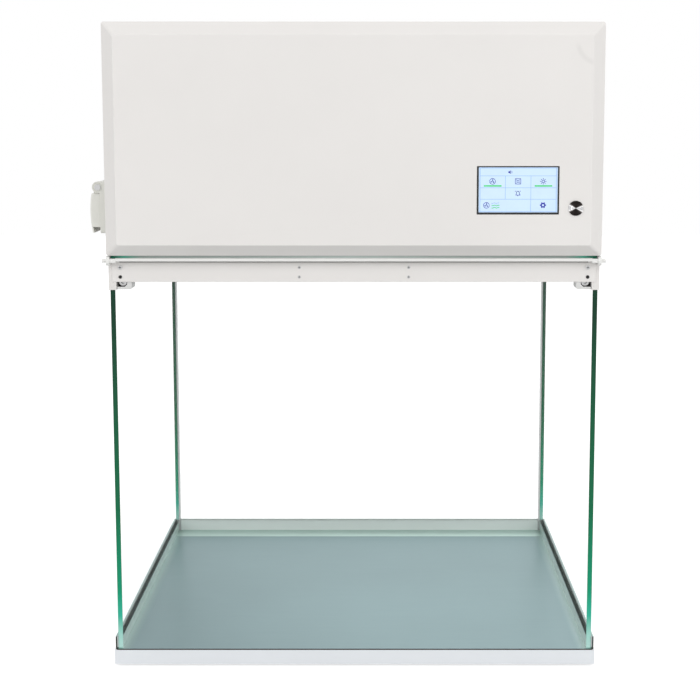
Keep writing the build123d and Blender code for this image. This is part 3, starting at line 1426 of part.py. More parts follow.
# Sprung lid of the socket: a bulged shell that hangs from its hinge barrel
with BuildPart() as socket_lid:
    lid_front_y = socket_y - lid_half_width
    lid_skin_x = socket_face_x - lid_bulge - socket_axis_out
    lid_bottom_x = socket_face_x - lid_bottom_out - socket_axis_out
    lid_mid_z = (socket_axis_z + lid_bottom_z) / 2
    with BuildSketch(at_y(lid_front_y)):
        with BuildLine():
            Line((lid_inner_x, socket_axis_z), (socket_axis_x - socket_barrel_radius, socket_axis_z))
            ThreePointArc(
                (socket_axis_x - socket_barrel_radius, socket_axis_z),
                (lid_skin_x, lid_mid_z),
                (lid_bottom_x, lid_bottom_z),
            )
            Line((lid_bottom_x, lid_bottom_z), (lid_inner_x, lid_bottom_z))
            Line((lid_inner_x, lid_bottom_z), (lid_inner_x, socket_axis_z))
        make_face()
    extrude(amount=-2 * lid_half_width)
    lid_skin = socket_lid.faces().filter_by(GeomType.CYLINDER)[0]
    fillet(lid_skin.edges().filter_by(GeomType.CIRCLE), lid_edge_radius)
    # Room for the ears of the frame
    ear_cut_z = socket_axis_z - socket_knuckle_radius - lid_ear_clearance
    with BuildSketch(at_y(socket_y)):
        span_rectangle(
            socket_axis_x - 2 * socket_knuckle_radius,
            socket_wall_x,
            ear_cut_z,
            socket_axis_z + socket_knuckle_radius,
        )
    extrude(amount=lid_half_width, both=True, mode=Mode.SUBTRACT)
    barrel_half = ear_inner_half - socket_ear_gap
    with BuildSketch(at_y(socket_y)):
        with Locations((socket_axis_x, socket_axis_z)):
            Circle(socket_barrel_radius)
        span_rectangle(socket_axis_x - socket_barrel_radius, socket_axis_x, ear_cut_z, socket_axis_z)
    extrude(amount=barrel_half, both=True)
    # Hollow on the side that faces the socket, and a finger grip that opens the lower end
    with BuildSketch(at_y(socket_y)):
        with BuildLine():
            hollow_top_z = ear_cut_z - lid_wall
            hollow_low_z = lid_bottom_z + lid_wall
            Line((lid_inner_x, hollow_top_z), (socket_axis_x - socket_barrel_radius, hollow_top_z))
            ThreePointArc(
                (socket_axis_x - socket_barrel_radius, hollow_top_z),
                (lid_skin_x + lid_wall, lid_mid_z - lid_wall),
                (lid_bottom_x + lid_wall, hollow_low_z),
            )
            Line((lid_bottom_x + lid_wall, hollow_low_z), (lid_inner_x, hollow_low_z))
            Line((lid_inner_x, hollow_low_z), (lid_inner_x, hollow_top_z))
        make_face()
    extrude(amount=lid_half_width - lid_wall, both=True, mode=Mode.SUBTRACT)
    with BuildSketch(at_y(socket_y)):
        with BuildLine():
            grip_low_x = lid_bottom_x + lid_wall
            grip_top_z = lid_bottom_z + lid_grip_height
            Polyline(
                (lid_inner_x, lid_bottom_z),
                (grip_low_x, lid_bottom_z),
                (grip_low_x - lid_grip_slant, grip_top_z),
                (lid_inner_x, grip_top_z),
                close=True,
            )
        make_face()
    extrude(amount=lid_half_width, both=True, mode=Mode.SUBTRACT)
    with BuildSketch(at_y(socket_y)):
        with Locations((socket_axis_x, socket_axis_z)):
            Circle(hinge_pin_radius + hinge_pin_clearance)
    extrude(amount=lid_half_width, both=True, mode=Mode.SUBTRACT)
socket_lid.part.label = "socket_lid"
export_step(socket_lid.part, "parts/socket_lid.step")

# Hinge pin of the lid, with a round head at each end
with BuildPart() as socket_hinge_pin:
    with BuildSketch(at_y(socket_front_y)):
        with Locations((socket_axis_x, socket_axis_z)):
            Circle(hinge_pin_radius)
    extrude(amount=-socket_width)
    for head_y in (socket_front_y - hinge_pin_head_length, socket_rear_y):
        with BuildSketch(at_y(head_y)):
            with Locations((socket_axis_x, socket_axis_z)):
                Circle(hinge_pin_head_radius)
        extrude(amount=-hinge_pin_head_length)
socket_hinge_pin.part.label = "socket_hinge_pin"
export_step(socket_hinge_pin.part, "parts/socket_hinge_pin.step")

# Mains inlet in the rear wall
with BuildPart() as power_inlet:
    inlet_face_y = shell_rear_y + inlet_flange_thickness
    cavity_z = inlet_z - inlet_cavity_drop
    with BuildSketch(at_y(shell_rear_y)):
        with Locations((inlet_x, inlet_z)):
            RectangleRounded(inlet_flange_width, inlet_flange_height, inlet_flange_corner_radius)
    extrude(amount=-inlet_flange_thickness)
    with BuildSketch(at_y(shell_rear_y)):
        with Locations((inlet_x, inlet_z)):
            Rectangle(inlet_body_width, inlet_body_height)
    extrude(amount=inlet_body_depth)
    with BuildSketch(at_y(inlet_face_y)) as cavity_outline:
        with Locations((inlet_x, cavity_z)):
            Rectangle(inlet_cavity_width, inlet_cavity_height)
        chamfer(cavity_outline.vertices().group_by(Axis.Y)[-1], inlet_cavity_chamfer)
    extrude(amount=inlet_cavity_depth, mode=Mode.SUBTRACT)
    with BuildSketch(at_y(inlet_face_y)):
        fuse_slot_z = inlet_z + inlet_flange_height / 2 - fuse_slot_margin - fuse_slot_height / 2
        with Locations((inlet_x, fuse_slot_z)):
            RectangleRounded(fuse_slot_width, fuse_slot_height, fuse_slot_corner_radius)
    extrude(amount=fuse_slot_depth, mode=Mode.SUBTRACT)
power_inlet.part.label = "power_inlet"
export_step(power_inlet.part, "parts/power_inlet.step")

# Contact pins in the inlet's cavity
with BuildPart() as inlet_pins:
    with BuildSketch(at_y(inlet_face_y - inlet_cavity_depth)):
        for pin_x in (-inlet_pin_spacing, inlet_pin_spacing):
            with Locations((inlet_x + pin_x, cavity_z)):
                Rectangle(inlet_pin_thickness, inlet_pin_width)
        with Locations((inlet_x, cavity_z + inlet_earth_pin_rise)):
            Rectangle(inlet_pin_thickness, inlet_pin_width)
    extrude(amount=-inlet_pin_length)
inlet_pins.part.label = "inlet_pins"
export_step(inlet_pins.part, "parts/inlet_pins.step")

# Sliding sash glass, parked up behind the cover
with BuildPart() as sash_glass:
    with BuildSketch(Plane.XY.offset(sash_glass_bottom_z)):
        span_rectangle(
            -sash_glass_half_width, sash_glass_half_width, sash_glass_front_y, sash_glass_rear_y
        )
    extrude(amount=sash_glass_height)
    chamfer(sash_glass.edges().filter_by(Axis.Z), sash_glass_chamfer)
sash_glass.part.label = "sash_glass"
export_step(sash_glass.part, "parts/sash_glass.step")

# Handle rail along the lower edge of the sash
with BuildPart() as sash_rail:
    with BuildSketch(Plane.YZ.offset(-sash_rail_half_length)) as rail_profile:
        span_rectangle(sash_rail_front_y, sash_rail_rear_y, sash_rail_bottom_z, sash_rail_top_z)
        rail_front_corners = rail_profile.vertices().group_by(Axis.X)[0]
        fillet(rail_front_corners, sash_rail_nose_radius)
        span_rectangle(
            sash_glass_front_y - sash_groove_clearance,
            sash_glass_rear_y + sash_groove_clearance,
            sash_glass_bottom_z,
            sash_rail_top_z,
            Mode.SUBTRACT,
        )
    extrude(amount=2 * sash_rail_half_length)
sash_rail.part.label = "sash_rail"
export_step(sash_rail.part, "parts/sash_rail.step")

# Moulded end caps of the sash rail, each with a flange and a pin that reach past the side wall
for side, side_name in ((-1, "left"), (1, "right")):
    with BuildPart() as end_cap:
        cap_bottom_z = sash_rail_bottom_z - end_cap_drop
        cap_outer_x = sash_rail_half_length + end_cap_length
        cap_axis_z = housing_bottom_z - end_cap_top_gap - end_cap_flange_radius
        with BuildSketch(Plane.YZ.offset(side * sash_rail_half_length)) as cap_profile:
            span_rectangle(
                sash_rail_front_y, sash_rail_rear_y, cap_bottom_z, cap_bottom_z + end_cap_height
            )
            fillet(cap_profile.vertices(), end_cap_corner_radius)
            span_rectangle(
                sash_glass_front_y - sash_groove_clearance,
                sash_glass_rear_y + sash_groove_clearance,
                sash_glass_bottom_z,
                sash_rail_top_z,
                Mode.SUBTRACT,
            )
        extrude(amount=side * end_cap_length)
        with BuildSketch(Plane.YZ.offset(side * cap_outer_x)):
            with Locations((sash_glass_mid_y, cap_axis_z)):
                Circle(end_cap_flange_radius)
        extrude(amount=side * end_cap_flange_length)
        with BuildSketch(Plane.YZ.offset(side * (cap_outer_x + end_cap_flange_length))):
            with Locations((sash_glass_mid_y, cap_axis_z)):
                Circle(end_cap_pin_radius)
        extrude(amount=side * end_cap_pin_length)
    end_cap.part.label = f"{side_name}_sash_end_cap"
    export_step(end_cap.part, f"parts/{side_name}_sash_end_cap.step")

# Guides that the sash slides in, behind the cover
for side, side_name in ((-1, "left"), (1, "right")):
    with BuildPart() as sash_guide:
        guide_inner_x = guide_outer_x - guide_wall - guide_depth
        with BuildSketch(Plane.XY.offset(housing_bottom_z + guide_bottom_gap)):
            guide_low_x = min(side * guide_inner_x, side * guide_outer_x)
            span_rectangle(
                guide_low_x, guide_low_x + guide_wall + guide_depth, guide_front_y, shell_front_y
            )
            slot_outer_x = guide_outer_x - guide_wall
            slot_low_x = min(side * guide_inner_x, side * slot_outer_x)
            span_rectangle(
                slot_low_x,
                slot_low_x + guide_depth,
                sash_glass_front_y - guide_clearance,
                sash_glass_rear_y + guide_clearance,
                Mode.SUBTRACT,
            )
        extrude(amount=shell_top_z - guide_top_gap - housing_bottom_z - guide_bottom_gap)
    sash_guide.part.label = f"{side_name}_sash_guide"
    export_step(sash_guide.part, f"parts/{side_name}_sash_guide.step")
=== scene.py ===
import json
from math import atan, cos, pi, sin

import bmesh
import bpy
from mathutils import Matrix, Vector


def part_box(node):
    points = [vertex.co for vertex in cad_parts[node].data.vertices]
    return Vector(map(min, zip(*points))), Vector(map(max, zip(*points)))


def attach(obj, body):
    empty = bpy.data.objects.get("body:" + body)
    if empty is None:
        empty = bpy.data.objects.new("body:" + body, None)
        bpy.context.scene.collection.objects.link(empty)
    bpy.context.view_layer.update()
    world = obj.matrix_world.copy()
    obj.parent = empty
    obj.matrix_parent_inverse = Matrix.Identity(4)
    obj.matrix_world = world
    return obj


# A vertical laminar flow hood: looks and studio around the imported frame. Metres, +Z up, the front faces -Y.
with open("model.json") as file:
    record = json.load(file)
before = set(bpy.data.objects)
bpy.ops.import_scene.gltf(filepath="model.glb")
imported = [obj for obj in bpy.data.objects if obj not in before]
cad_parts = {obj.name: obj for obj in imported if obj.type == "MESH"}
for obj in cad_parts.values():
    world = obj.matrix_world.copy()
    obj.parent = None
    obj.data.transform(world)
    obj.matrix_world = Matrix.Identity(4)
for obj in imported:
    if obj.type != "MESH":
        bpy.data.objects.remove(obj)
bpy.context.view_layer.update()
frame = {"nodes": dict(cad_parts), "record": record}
MM = 0.001

# Camera: it stands level with the upper part of the hood, a little to the right of its middle
CAMERA_X = 26.7 * MM
CAMERA_Z = 684.0 * MM
CAMERA_DISTANCE = 1660.0 * MM
IMAGE_SIZE = 700.0
FOCAL_PIXELS = 1381.0
SENSOR_WIDTH = 36.0
HORIZON_PIXEL = 116.0
BOARD_FRONT_Y = -255.0 * MM
OPTICAL_PIXEL_X = 376.0
SHIFT_Y = -0.10

# Colours, linear
PAINT_WHITE = (0.765, 0.745, 0.725)
RAIL_WHITE = (0.74, 0.72, 0.70)
LAMINATE_WHITE = (0.78, 0.81, 0.84)
# Painted reflection: the steel's teal tint stands for the green glass mirrored in it
STEEL = (0.205, 0.300, 0.315)
STEEL_MIRROR = (0.52, 0.66, 0.615)
# Painted shade on the tray's front-facing faces
STEEL_FRONT_SHADE = (0.030, 0.030, 0.022)
GLASS_FACE = (0.93, 1.0, 0.97)
GLASS_HIDDEN_EDGE = (0.62, 0.72, 0.69)
GLASS_FOOT = (0.56, 0.71, 0.665)
REAR_GLASS_FOOT = (0.80, 0.87, 0.845)
# Painted shade inside the lamp holders' pockets
POCKET_SHADE = (0.012, 0.010, 0.010)
SCREEN_BLUE = (0.58, 0.74, 0.94)
LINE_BLUE = (0.27, 0.48, 0.85)
ICON_NAVY = (0.012, 0.020, 0.34)
ICON_GREEN = (0.03, 0.60, 0.12)

# Clear glass
GLASS_FACE_OPACITY = 0.06
GLASS_FOOT_OPACITY = 0.82
GLASS_HIDDEN_EDGE_OPACITY = 0.4

# Studio
FLOOR_HALF_SIZE = 6.0
FLOOR_COLOUR = (0.60, 0.60, 0.60)
FLOOR_GLOW = 0.62
WORLD_LIGHT = 0.84

# Least part of a surface's direction that lies along an axis, for a square face and for a chamfered edge
SQUARE_ON = 0.9
CHAMFER_ON = 0.6

# Painted reflections of the glass's pale foot on the tray's floor, measured in from the glass
REAR_MIRROR_START = 35.5 * MM
REAR_MIRROR_FULL = 32.0 * MM
REAR_MIRROR_STRENGTH = 0.96
SIDE_MIRROR_START = 14.0 * MM
SIDE_MIRROR_FULL = 2.0 * MM
SIDE_MIRROR_BEND = 1.6
SIDE_MIRROR_STRENGTH = 0.55

# Faint rub mark on the cover: an arc, with its centre and its fading ends in from the top right corner
RUB_CENTRE_IN = 9.2 * MM
RUB_CENTRE_DOWN = 23.9 * MM
RUB_RADIUS = 25.5 * MM
RUB_HALF_WIDTH = 4.2 * MM
RUB_CORE_HALF_WIDTH = 0.8 * MM
RUB_SIDE_FADE = (15.5 * MM, 18.0 * MM)
RUB_TOP_FADE = (24.0 * MM, 32.0 * MM)
RUB_FACE_DEPTH = 2.0 * MM
RUB_STRENGTH = 0.6
RUB_SHADE = 0.90

# Painted shade in the lamp holders' pockets, measured from a holder's front, bottom and outer side
POCKET_FRONT = 0.8 * MM
POCKET_BACK = 11.5 * MM
POCKET_BOTTOM = 3.0 * MM
POCKET_TOP = 13.0 * MM
POCKET_SIDE = 5.4 * MM

# Dark crosses, painted shade of the screws' cross recesses: rows are measured down from the top of the fascia
# bar
CROSS_THICKNESS = 0.05 * MM
CROSS_WIDTH_SHARE = 0.26
FASCIA_UPPER_ROW = 15.0 * MM
FASCIA_LOWER_ROW = 26.6 * MM
FASCIA_MIDDLE_X = 66.2 * MM
FASCIA_MIDDLE_HEAD_HEIGHT = 0.8 * MM
FASCIA_MIDDLE_CROSS = 1.15 * MM
FASCIA_END_HEAD_RADIUS = 2.7 * MM
FASCIA_END_CROSS = 1.6 * MM
TOP_HEAD_RADIUS = 3.6 * MM
COVER_HEAD_RADIUS = 3.3 * MM
PANEL_CROSS = 2.0 * MM

# Dark strip under the sash's handle: a painted shadow between the handle and the fascia bar
SHADOW_STRIP_END_GAP = 4.0 * MM
SHADOW_STRIP_COVERED_DEPTH = 2.4 * MM
SHADOW_STRIP_FREE_DEPTH = 0.7 * MM
SHADOW_STRIP_HEIGHT = 1.2 * MM


# Material building blocks
def new_material(name):
    material = bpy.data.materials.new(name)
    material.use_nodes = True
    tree = material.node_tree
    shader = tree.nodes["Principled BSDF"]
    return material, tree, shader


def node(tree, kind, **inputs):
    made = tree.nodes.new(kind)
    for key, value in inputs.items():
        made.inputs[key.replace("_", " ")].default_value = value
    return made


def object_coordinates(tree, stretch=(1.0, 1.0, 1.0)):
    """Places in metres in the part's frame, stretched along each axis."""
    coordinates = tree.nodes.new("ShaderNodeTexCoord")
    mapping = tree.nodes.new("ShaderNodeMapping")
    mapping.inputs["Scale"].default_value = stretch
    tree.links.new(coordinates.outputs["Object"], mapping.inputs["Vector"])
    return mapping.outputs["Vector"]


def noise(tree, vector, scale, detail=3.0):
    made = node(tree, "ShaderNodeTexNoise", Scale=scale, Detail=detail)
    tree.links.new(vector, made.inputs["Vector"])
    return made.outputs["Fac"]


def ramp(tree, factor, stops):
    """A colour ramp over (position, colour) stops."""
    made = tree.nodes.new("ShaderNodeValToRGB")
    elements = made.color_ramp.elements
    while len(elements) < len(stops):
        elements.new(0.5)
    for element, (position, colour) in zip(elements, stops):
        element.position = position
        element.color = (*colour, 1.0)
    tree.links.new(factor, made.inputs["Fac"])
    return made.outputs["Color"]


def shade(colour, factor):
    return tuple(min(1.0, channel * factor) for channel in colour)


def add_bump(tree, shader, height, strength, distance=0.0004):
    bump = node(tree, "ShaderNodeBump", Strength=strength, Distance=distance)
    tree.links.new(height, bump.inputs["Height"])
    tree.links.new(bump.outputs["Normal"], shader.inputs["Normal"])


def surface(name, colour, roughness, metal=0.0, contrast=0.03, patch=9.0, grain=900.0, bump=0.05,
            stretch=(1.0, 1.0, 1.0), coat=0.0, rough_spread=0.06):
    """A surface whose colour drifts slowly, with a fine grain in its height and its roughness."""
    material, tree, shader = new_material(name)
    place = object_coordinates(tree)
    stretched = object_coordinates(tree, stretch)
    drift = noise(tree, place, patch)
    fine = noise(tree, stretched, grain, 2.0)
    colours = ramp(tree, drift, [(0.3, shade(colour, 1.0 - contrast)), (0.7, shade(colour, 1.0 + contrast))])
    tree.links.new(colours, shader.inputs["Base Color"])
    spread = node(tree, "ShaderNodeMapRange")
    spread.inputs["To Min"].default_value = max(0.02, roughness - rough_spread)
    spread.inputs["To Max"].default_value = roughness + rough_spread
    tree.links.new(fine, spread.inputs["Value"])
    tree.links.new(spread.outputs["Result"], shader.inputs["Roughness"])
    shader.inputs["Metallic"].default_value = metal
    shader.inputs["Coat Weight"].default_value = coat
    if bump:
        add_bump(tree, shader, fine, bump)
    return material


def math_node(tree, operation, first, second=None):
    """A Math node on one or two values, each a number or another node's output."""
    made = tree.nodes.new("ShaderNodeMath")
    made.operation = operation
    for socket, value in zip(made.inputs, (first, second)):
        if value is None:
            continue
        if isinstance(value, (int, float)):
            socket.default_value = value
        else:
            tree.links.new(value, socket)
    return made.outputs[0]


def product(tree, first, *others):
    """All the values multiplied."""
    for value in others:
        first = math_node(tree, "MULTIPLY", first, value)
    return first


def between(tree, value, low, high):
    """1 where a value lies between two limits."""
    above = math_node(tree, "GREATER_THAN", value, low)
    return product(tree, above, math_node(tree, "LESS_THAN", value, high))


def seen_directly(tree):
    """1 for what is seen, also through glass or in metal, and 0 for the light that falls on other things."""
    rays = tree.nodes.new("ShaderNodeLightPath")
    seen = rays.outputs["Is Camera Ray"]
    for kind in ("Is Transmission Ray", "Is Glossy Ray"):
        seen = math_node(tree, "MAXIMUM", seen, rays.outputs[kind])
    return seen


def mix_colours(tree, factor, first, second):
    """first where the factor is 0 and second where it is 1; each is a colour or another node's output."""
    made = tree.nodes.new("ShaderNodeMix")
    made.data_type = "RGBA"
    tree.links.new(factor, made.inputs["Factor"])
    for name, value in (("A", first), ("B", second)):
        socket = [one for one in made.inputs if one.name == name and one.type == "RGBA"][0]
        if isinstance(value, tuple):
            socket.default_value = (*value, 1.0)
        else:
            tree.links.new(value, socket)
    return [one for one in made.outputs if one.type == "RGBA"][0]


def axes_of(tree, output):
    """X, Y and Z of the surface's place ("Object") or of its direction ("Normal") in the part's frame."""
    coordinates = tree.nodes.new("ShaderNodeTexCoord")
    split = tree.nodes.new("ShaderNodeSeparateXYZ")
    tree.links.new(coordinates.outputs[output], split.inputs["Vector"])
    return split.outputs


def share(tree, value, low, high):
    """0 at low, 1 at high, and even steps between them."""
    made = tree.nodes.new("ShaderNodeMapRange")
    made.inputs["From Min"].default_value = low
    made.inputs["From Max"].default_value = high
    tree.links.new(value, made.inputs["Value"])
    return made.outputs["Result"]


def repaint(material, mask, colour):
    """Lays a colour over a finish where the mask is 1."""
    tree = material.node_tree
    base = tree.nodes["Principled BSDF"].inputs["Base Color"]
    below = base.links[0].from_socket
    tree.links.new(mix_colours(tree, mask, below, colour), base)


def clear_glass(name, axis, low, high, foot_z, foot_stops):
    """Float glass whose faces across an axis are nearly invisible and whose front edges are green.

    The stops colour its foot, the strip below foot_z, by the distance from the hood's middle.
    """
    material, tree, shader = new_material(name)
    place = axes_of(tree, "Object")
    facing = axes_of(tree, "Normal")
    face = math_node(tree, "GREATER_THAN", math_node(tree, "ABSOLUTE", facing[axis]), SQUARE_ON)
    front = math_node(tree, "LESS_THAN", facing["Y"], -CHAMFER_ON)
    foot = math_node(tree, "LESS_THAN", place["Z"], foot_z)
    green = ramp(tree, share(tree, place["Z"], low, high), [
        (0.0, (0.50, 0.76, 0.70)),
        (0.035, (0.36, 0.68, 0.60)),
        (0.085, (0.03, 0.45, 0.31)),
        (0.15, (0.0, 0.30, 0.155)),
        (0.36, (0.0, 0.14, 0.055)),
        (0.85, (0.0008, 0.040, 0.018)),
    ])
    half_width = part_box("base_board")[1][0]
    outward = share(tree, math_node(tree, "ABSOLUTE", place["X"]), 0.0, half_width)
    edge_colour = mix_colours(tree, front, GLASS_HIDDEN_EDGE, green)
    face_colour = mix_colours(tree, foot, GLASS_FACE, ramp(tree, outward, foot_stops))
    tree.links.new(mix_colours(tree, face, edge_colour, face_colour), shader.inputs["Base Color"])
    foot_reach = product(tree, foot, GLASS_FOOT_OPACITY - GLASS_FACE_OPACITY)
    face_opacity = math_node(tree, "ADD", GLASS_FACE_OPACITY, foot_reach)
    front_reach = product(tree, front, 1.0 - GLASS_HIDDEN_EDGE_OPACITY)
    edge_opacity = math_node(tree, "ADD", GLASS_HIDDEN_EDGE_OPACITY, front_reach)
    face_reach = product(tree, face, math_node(tree, "SUBTRACT", face_opacity, edge_opacity))
    tree.links.new(math_node(tree, "ADD", edge_opacity, face_reach), shader.inputs["Alpha"])
    shader.inputs["Roughness"].default_value = 0.05
    shader.inputs["IOR"].default_value = 1.5
    shader.inputs["Specular IOR Level"].default_value = 0.2
    return material


def wall_glass(name, axis, foot_colour):
    low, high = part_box("left_glass")
    lip_top_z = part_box("worktop_tray")[1][2]
    return clear_glass(name, axis, low[2], high[2], lip_top_z, [(0.0, foot_colour), (1.0, foot_colour)])


def sash_glass():
    """The strip between handle and cover shows the green of the whole pane, deepest at its ends."""
    low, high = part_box("sash_glass")
    cover_low_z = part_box("front_cover")[0][2]
    return clear_glass("sash_glass", "Y", low[2] - (high[2] - low[2]), low[2], cover_low_z, [
        (0.0, (0.60, 0.68, 0.65)),
        (0.45, (0.46, 0.52, 0.49)),
        (0.85, (0.36, 0.42, 0.39)),
        (0.92, (0.10, 0.42, 0.30)),
        (0.965, (0.0, 0.10, 0.05)),
        (0.985, (0.0, 0.16, 0.09)),
    ])


def tray_steel():
    """Brushed steel tinted teal by a painted reflection of the green glass, with painted shade on its
    front-facing cut edges; the floor carries a painted reflection of the pale foot of the glass.
    """
    material = surface("brushed_steel", STEEL, 0.36, metal=0.85, contrast=0.03, patch=5.0, grain=260.0,
                       bump=0.05, stretch=(0.06, 9.0, 9.0))
    tree = material.node_tree
    place = axes_of(tree, "Object")
    facing = axes_of(tree, "Normal")
    glass_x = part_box("rear_glass")[1][0]
    glass_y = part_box("rear_glass")[0][1]
    rear = share(tree, place["Y"], glass_y - REAR_MIRROR_START, glass_y - REAR_MIRROR_FULL)
    off_middle = math_node(tree, "ABSOLUTE", place["X"])
    side = share(tree, off_middle, glass_x - SIDE_MIRROR_START, glass_x - SIDE_MIRROR_FULL)
    side = product(tree, math_node(tree, "POWER", side, SIDE_MIRROR_BEND), SIDE_MIRROR_STRENGTH)
    mirror = math_node(tree, "MAXIMUM", product(tree, rear, REAR_MIRROR_STRENGTH), side)
    level = math_node(tree, "GREATER_THAN", facing["Z"], SQUARE_ON)
    # painted reflection of the glass's pale foot on the tray's floor
    repaint(material, product(tree, mirror, level), STEEL_MIRROR)
    # painted shade on the faces that look to the front
    repaint(material, math_node(tree, "LESS_THAN", facing["Y"], -SQUARE_ON), STEEL_FRONT_SHADE)
    return material


def cover_paint():
    """Powder coat with the faint curved rub mark at the upper right corner of the cover."""
    material = surface("cover_powder_coat", PAINT_WHITE, 0.36, contrast=0.012, grain=1300.0, bump=0.05)
    tree = material.node_tree
    place = axes_of(tree, "Object")
    low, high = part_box("front_cover")
    across = math_node(tree, "SUBTRACT", place["X"], high[0] - RUB_CENTRE_IN)
    down = math_node(tree, "SUBTRACT", place["Z"], high[2] - RUB_CENTRE_DOWN)
    squares = [math_node(tree, "POWER", offset, 2.0) for offset in (across, down)]
    from_centre = math_node(tree, "SQRT", math_node(tree, "ADD", *squares))
    off_arc = math_node(tree, "ABSOLUTE", math_node(tree, "SUBTRACT", from_centre, RUB_RADIUS))
    near = share(tree, off_arc, RUB_HALF_WIDTH, RUB_CORE_HALF_WIDTH)
    inside = share(tree, place["X"], high[0] - RUB_SIDE_FADE[0], high[0] - RUB_SIDE_FADE[1])
    below = share(tree, place["Z"], high[2] - RUB_TOP_FADE[0], high[2] - RUB_TOP_FADE[1])
    front = math_node(tree, "LESS_THAN", place["Y"], low[1] + RUB_FACE_DEPTH)
    repaint(material, product(tree, near, inside, below, front, RUB_STRENGTH), shade(PAINT_WHITE, RUB_SHADE))
    return material


def holder_plastic():
    """Moulded plastic with painted shade inside its front pockets."""
    material = surface("lamp_holder", (0.66, 0.66, 0.65), 0.5, grain=800.0, bump=0.1)
    tree = material.node_tree
    place = axes_of(tree, "Object")
    low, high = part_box("left_lamp_holders")
    depth = between(tree, place["Y"], low[1] + POCKET_FRONT, low[1] + POCKET_BACK)
    height = between(tree, place["Z"], low[2] + POCKET_BOTTOM, low[2] + POCKET_TOP)
    off_middle = math_node(tree, "ABSOLUTE", place["X"])
    outboard = math_node(tree, "GREATER_THAN", off_middle, -high[0] + POCKET_SIDE)
    # painted shade inside the pockets
    repaint(material, product(tree, depth, outboard, height), POCKET_SHADE)
    return material


def glowing(name, colour, strength):
    material, tree, shader = new_material(name)
    drift = noise(tree, object_coordinates(tree), 60.0)
    colours = ramp(tree, drift, [(0.35, shade(colour, 0.985)), (0.65, shade(colour, 1.015))])
    tree.links.new(colours, shader.inputs["Base Color"])
    tree.links.new(colours, shader.inputs["Emission Color"])
    shader.inputs["Emission Strength"].default_value = strength
    shader.inputs["Roughness"].default_value = 0.25
    return material


def spun_metal(name, roughness, anisotropy):
    """Bright metal turned on a lathe, with a painted reflection of light and dark sectors about the button's
    axis.
    """
    material, tree, shader = new_material(name)
    low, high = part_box("button_body")
    place = axes_of(tree, "Object")
    across = math_node(tree, "SUBTRACT", place["X"], (low[0] + high[0]) / 2)
    up = math_node(tree, "SUBTRACT", place["Z"], (low[2] + high[2]) / 2)
    turn = math_node(tree, "ADD", math_node(tree, "ARCTAN2", up, across), 0.06)
    wedge = math_node(tree, "COSINE", product(tree, turn, 2.0))
    # painted reflection: the base colour turns light and dark by the angle about the axis
    colours = ramp(tree, share(tree, wedge, -1.0, 1.0), [
        (0.0, (0.018, 0.015, 0.014)),
        (0.60, (0.030, 0.026, 0.025)),
        (0.74, (0.22, 0.20, 0.19)),
        (0.86, (0.95, 0.95, 0.95)),
        (0.97, (0.60, 0.60, 0.61)),
    ])
    tree.links.new(colours, shader.inputs["Base Color"])
    shader.inputs["Metallic"].default_value = 1.0
    shader.inputs["Roughness"].default_value = roughness
    shader.inputs["Anisotropic"].default_value = anisotropy
    tangent = tree.nodes.new("ShaderNodeTangent")
    tangent.direction_type = "RADIAL"
    tangent.axis = "Y"
    tree.links.new(tangent.outputs["Tangent"], shader.inputs["Tangent"])
    return material


def clear_bead():
    """Clear sealant in the rear corners, which shows as a thin pale grey line."""
    material = surface("clear_bead", (0.50, 0.52, 0.52), 0.3, grain=300.0, bump=0.05)
    material.node_tree.nodes["Principled BSDF"].inputs["Alpha"].default_value = 0.62
    return material


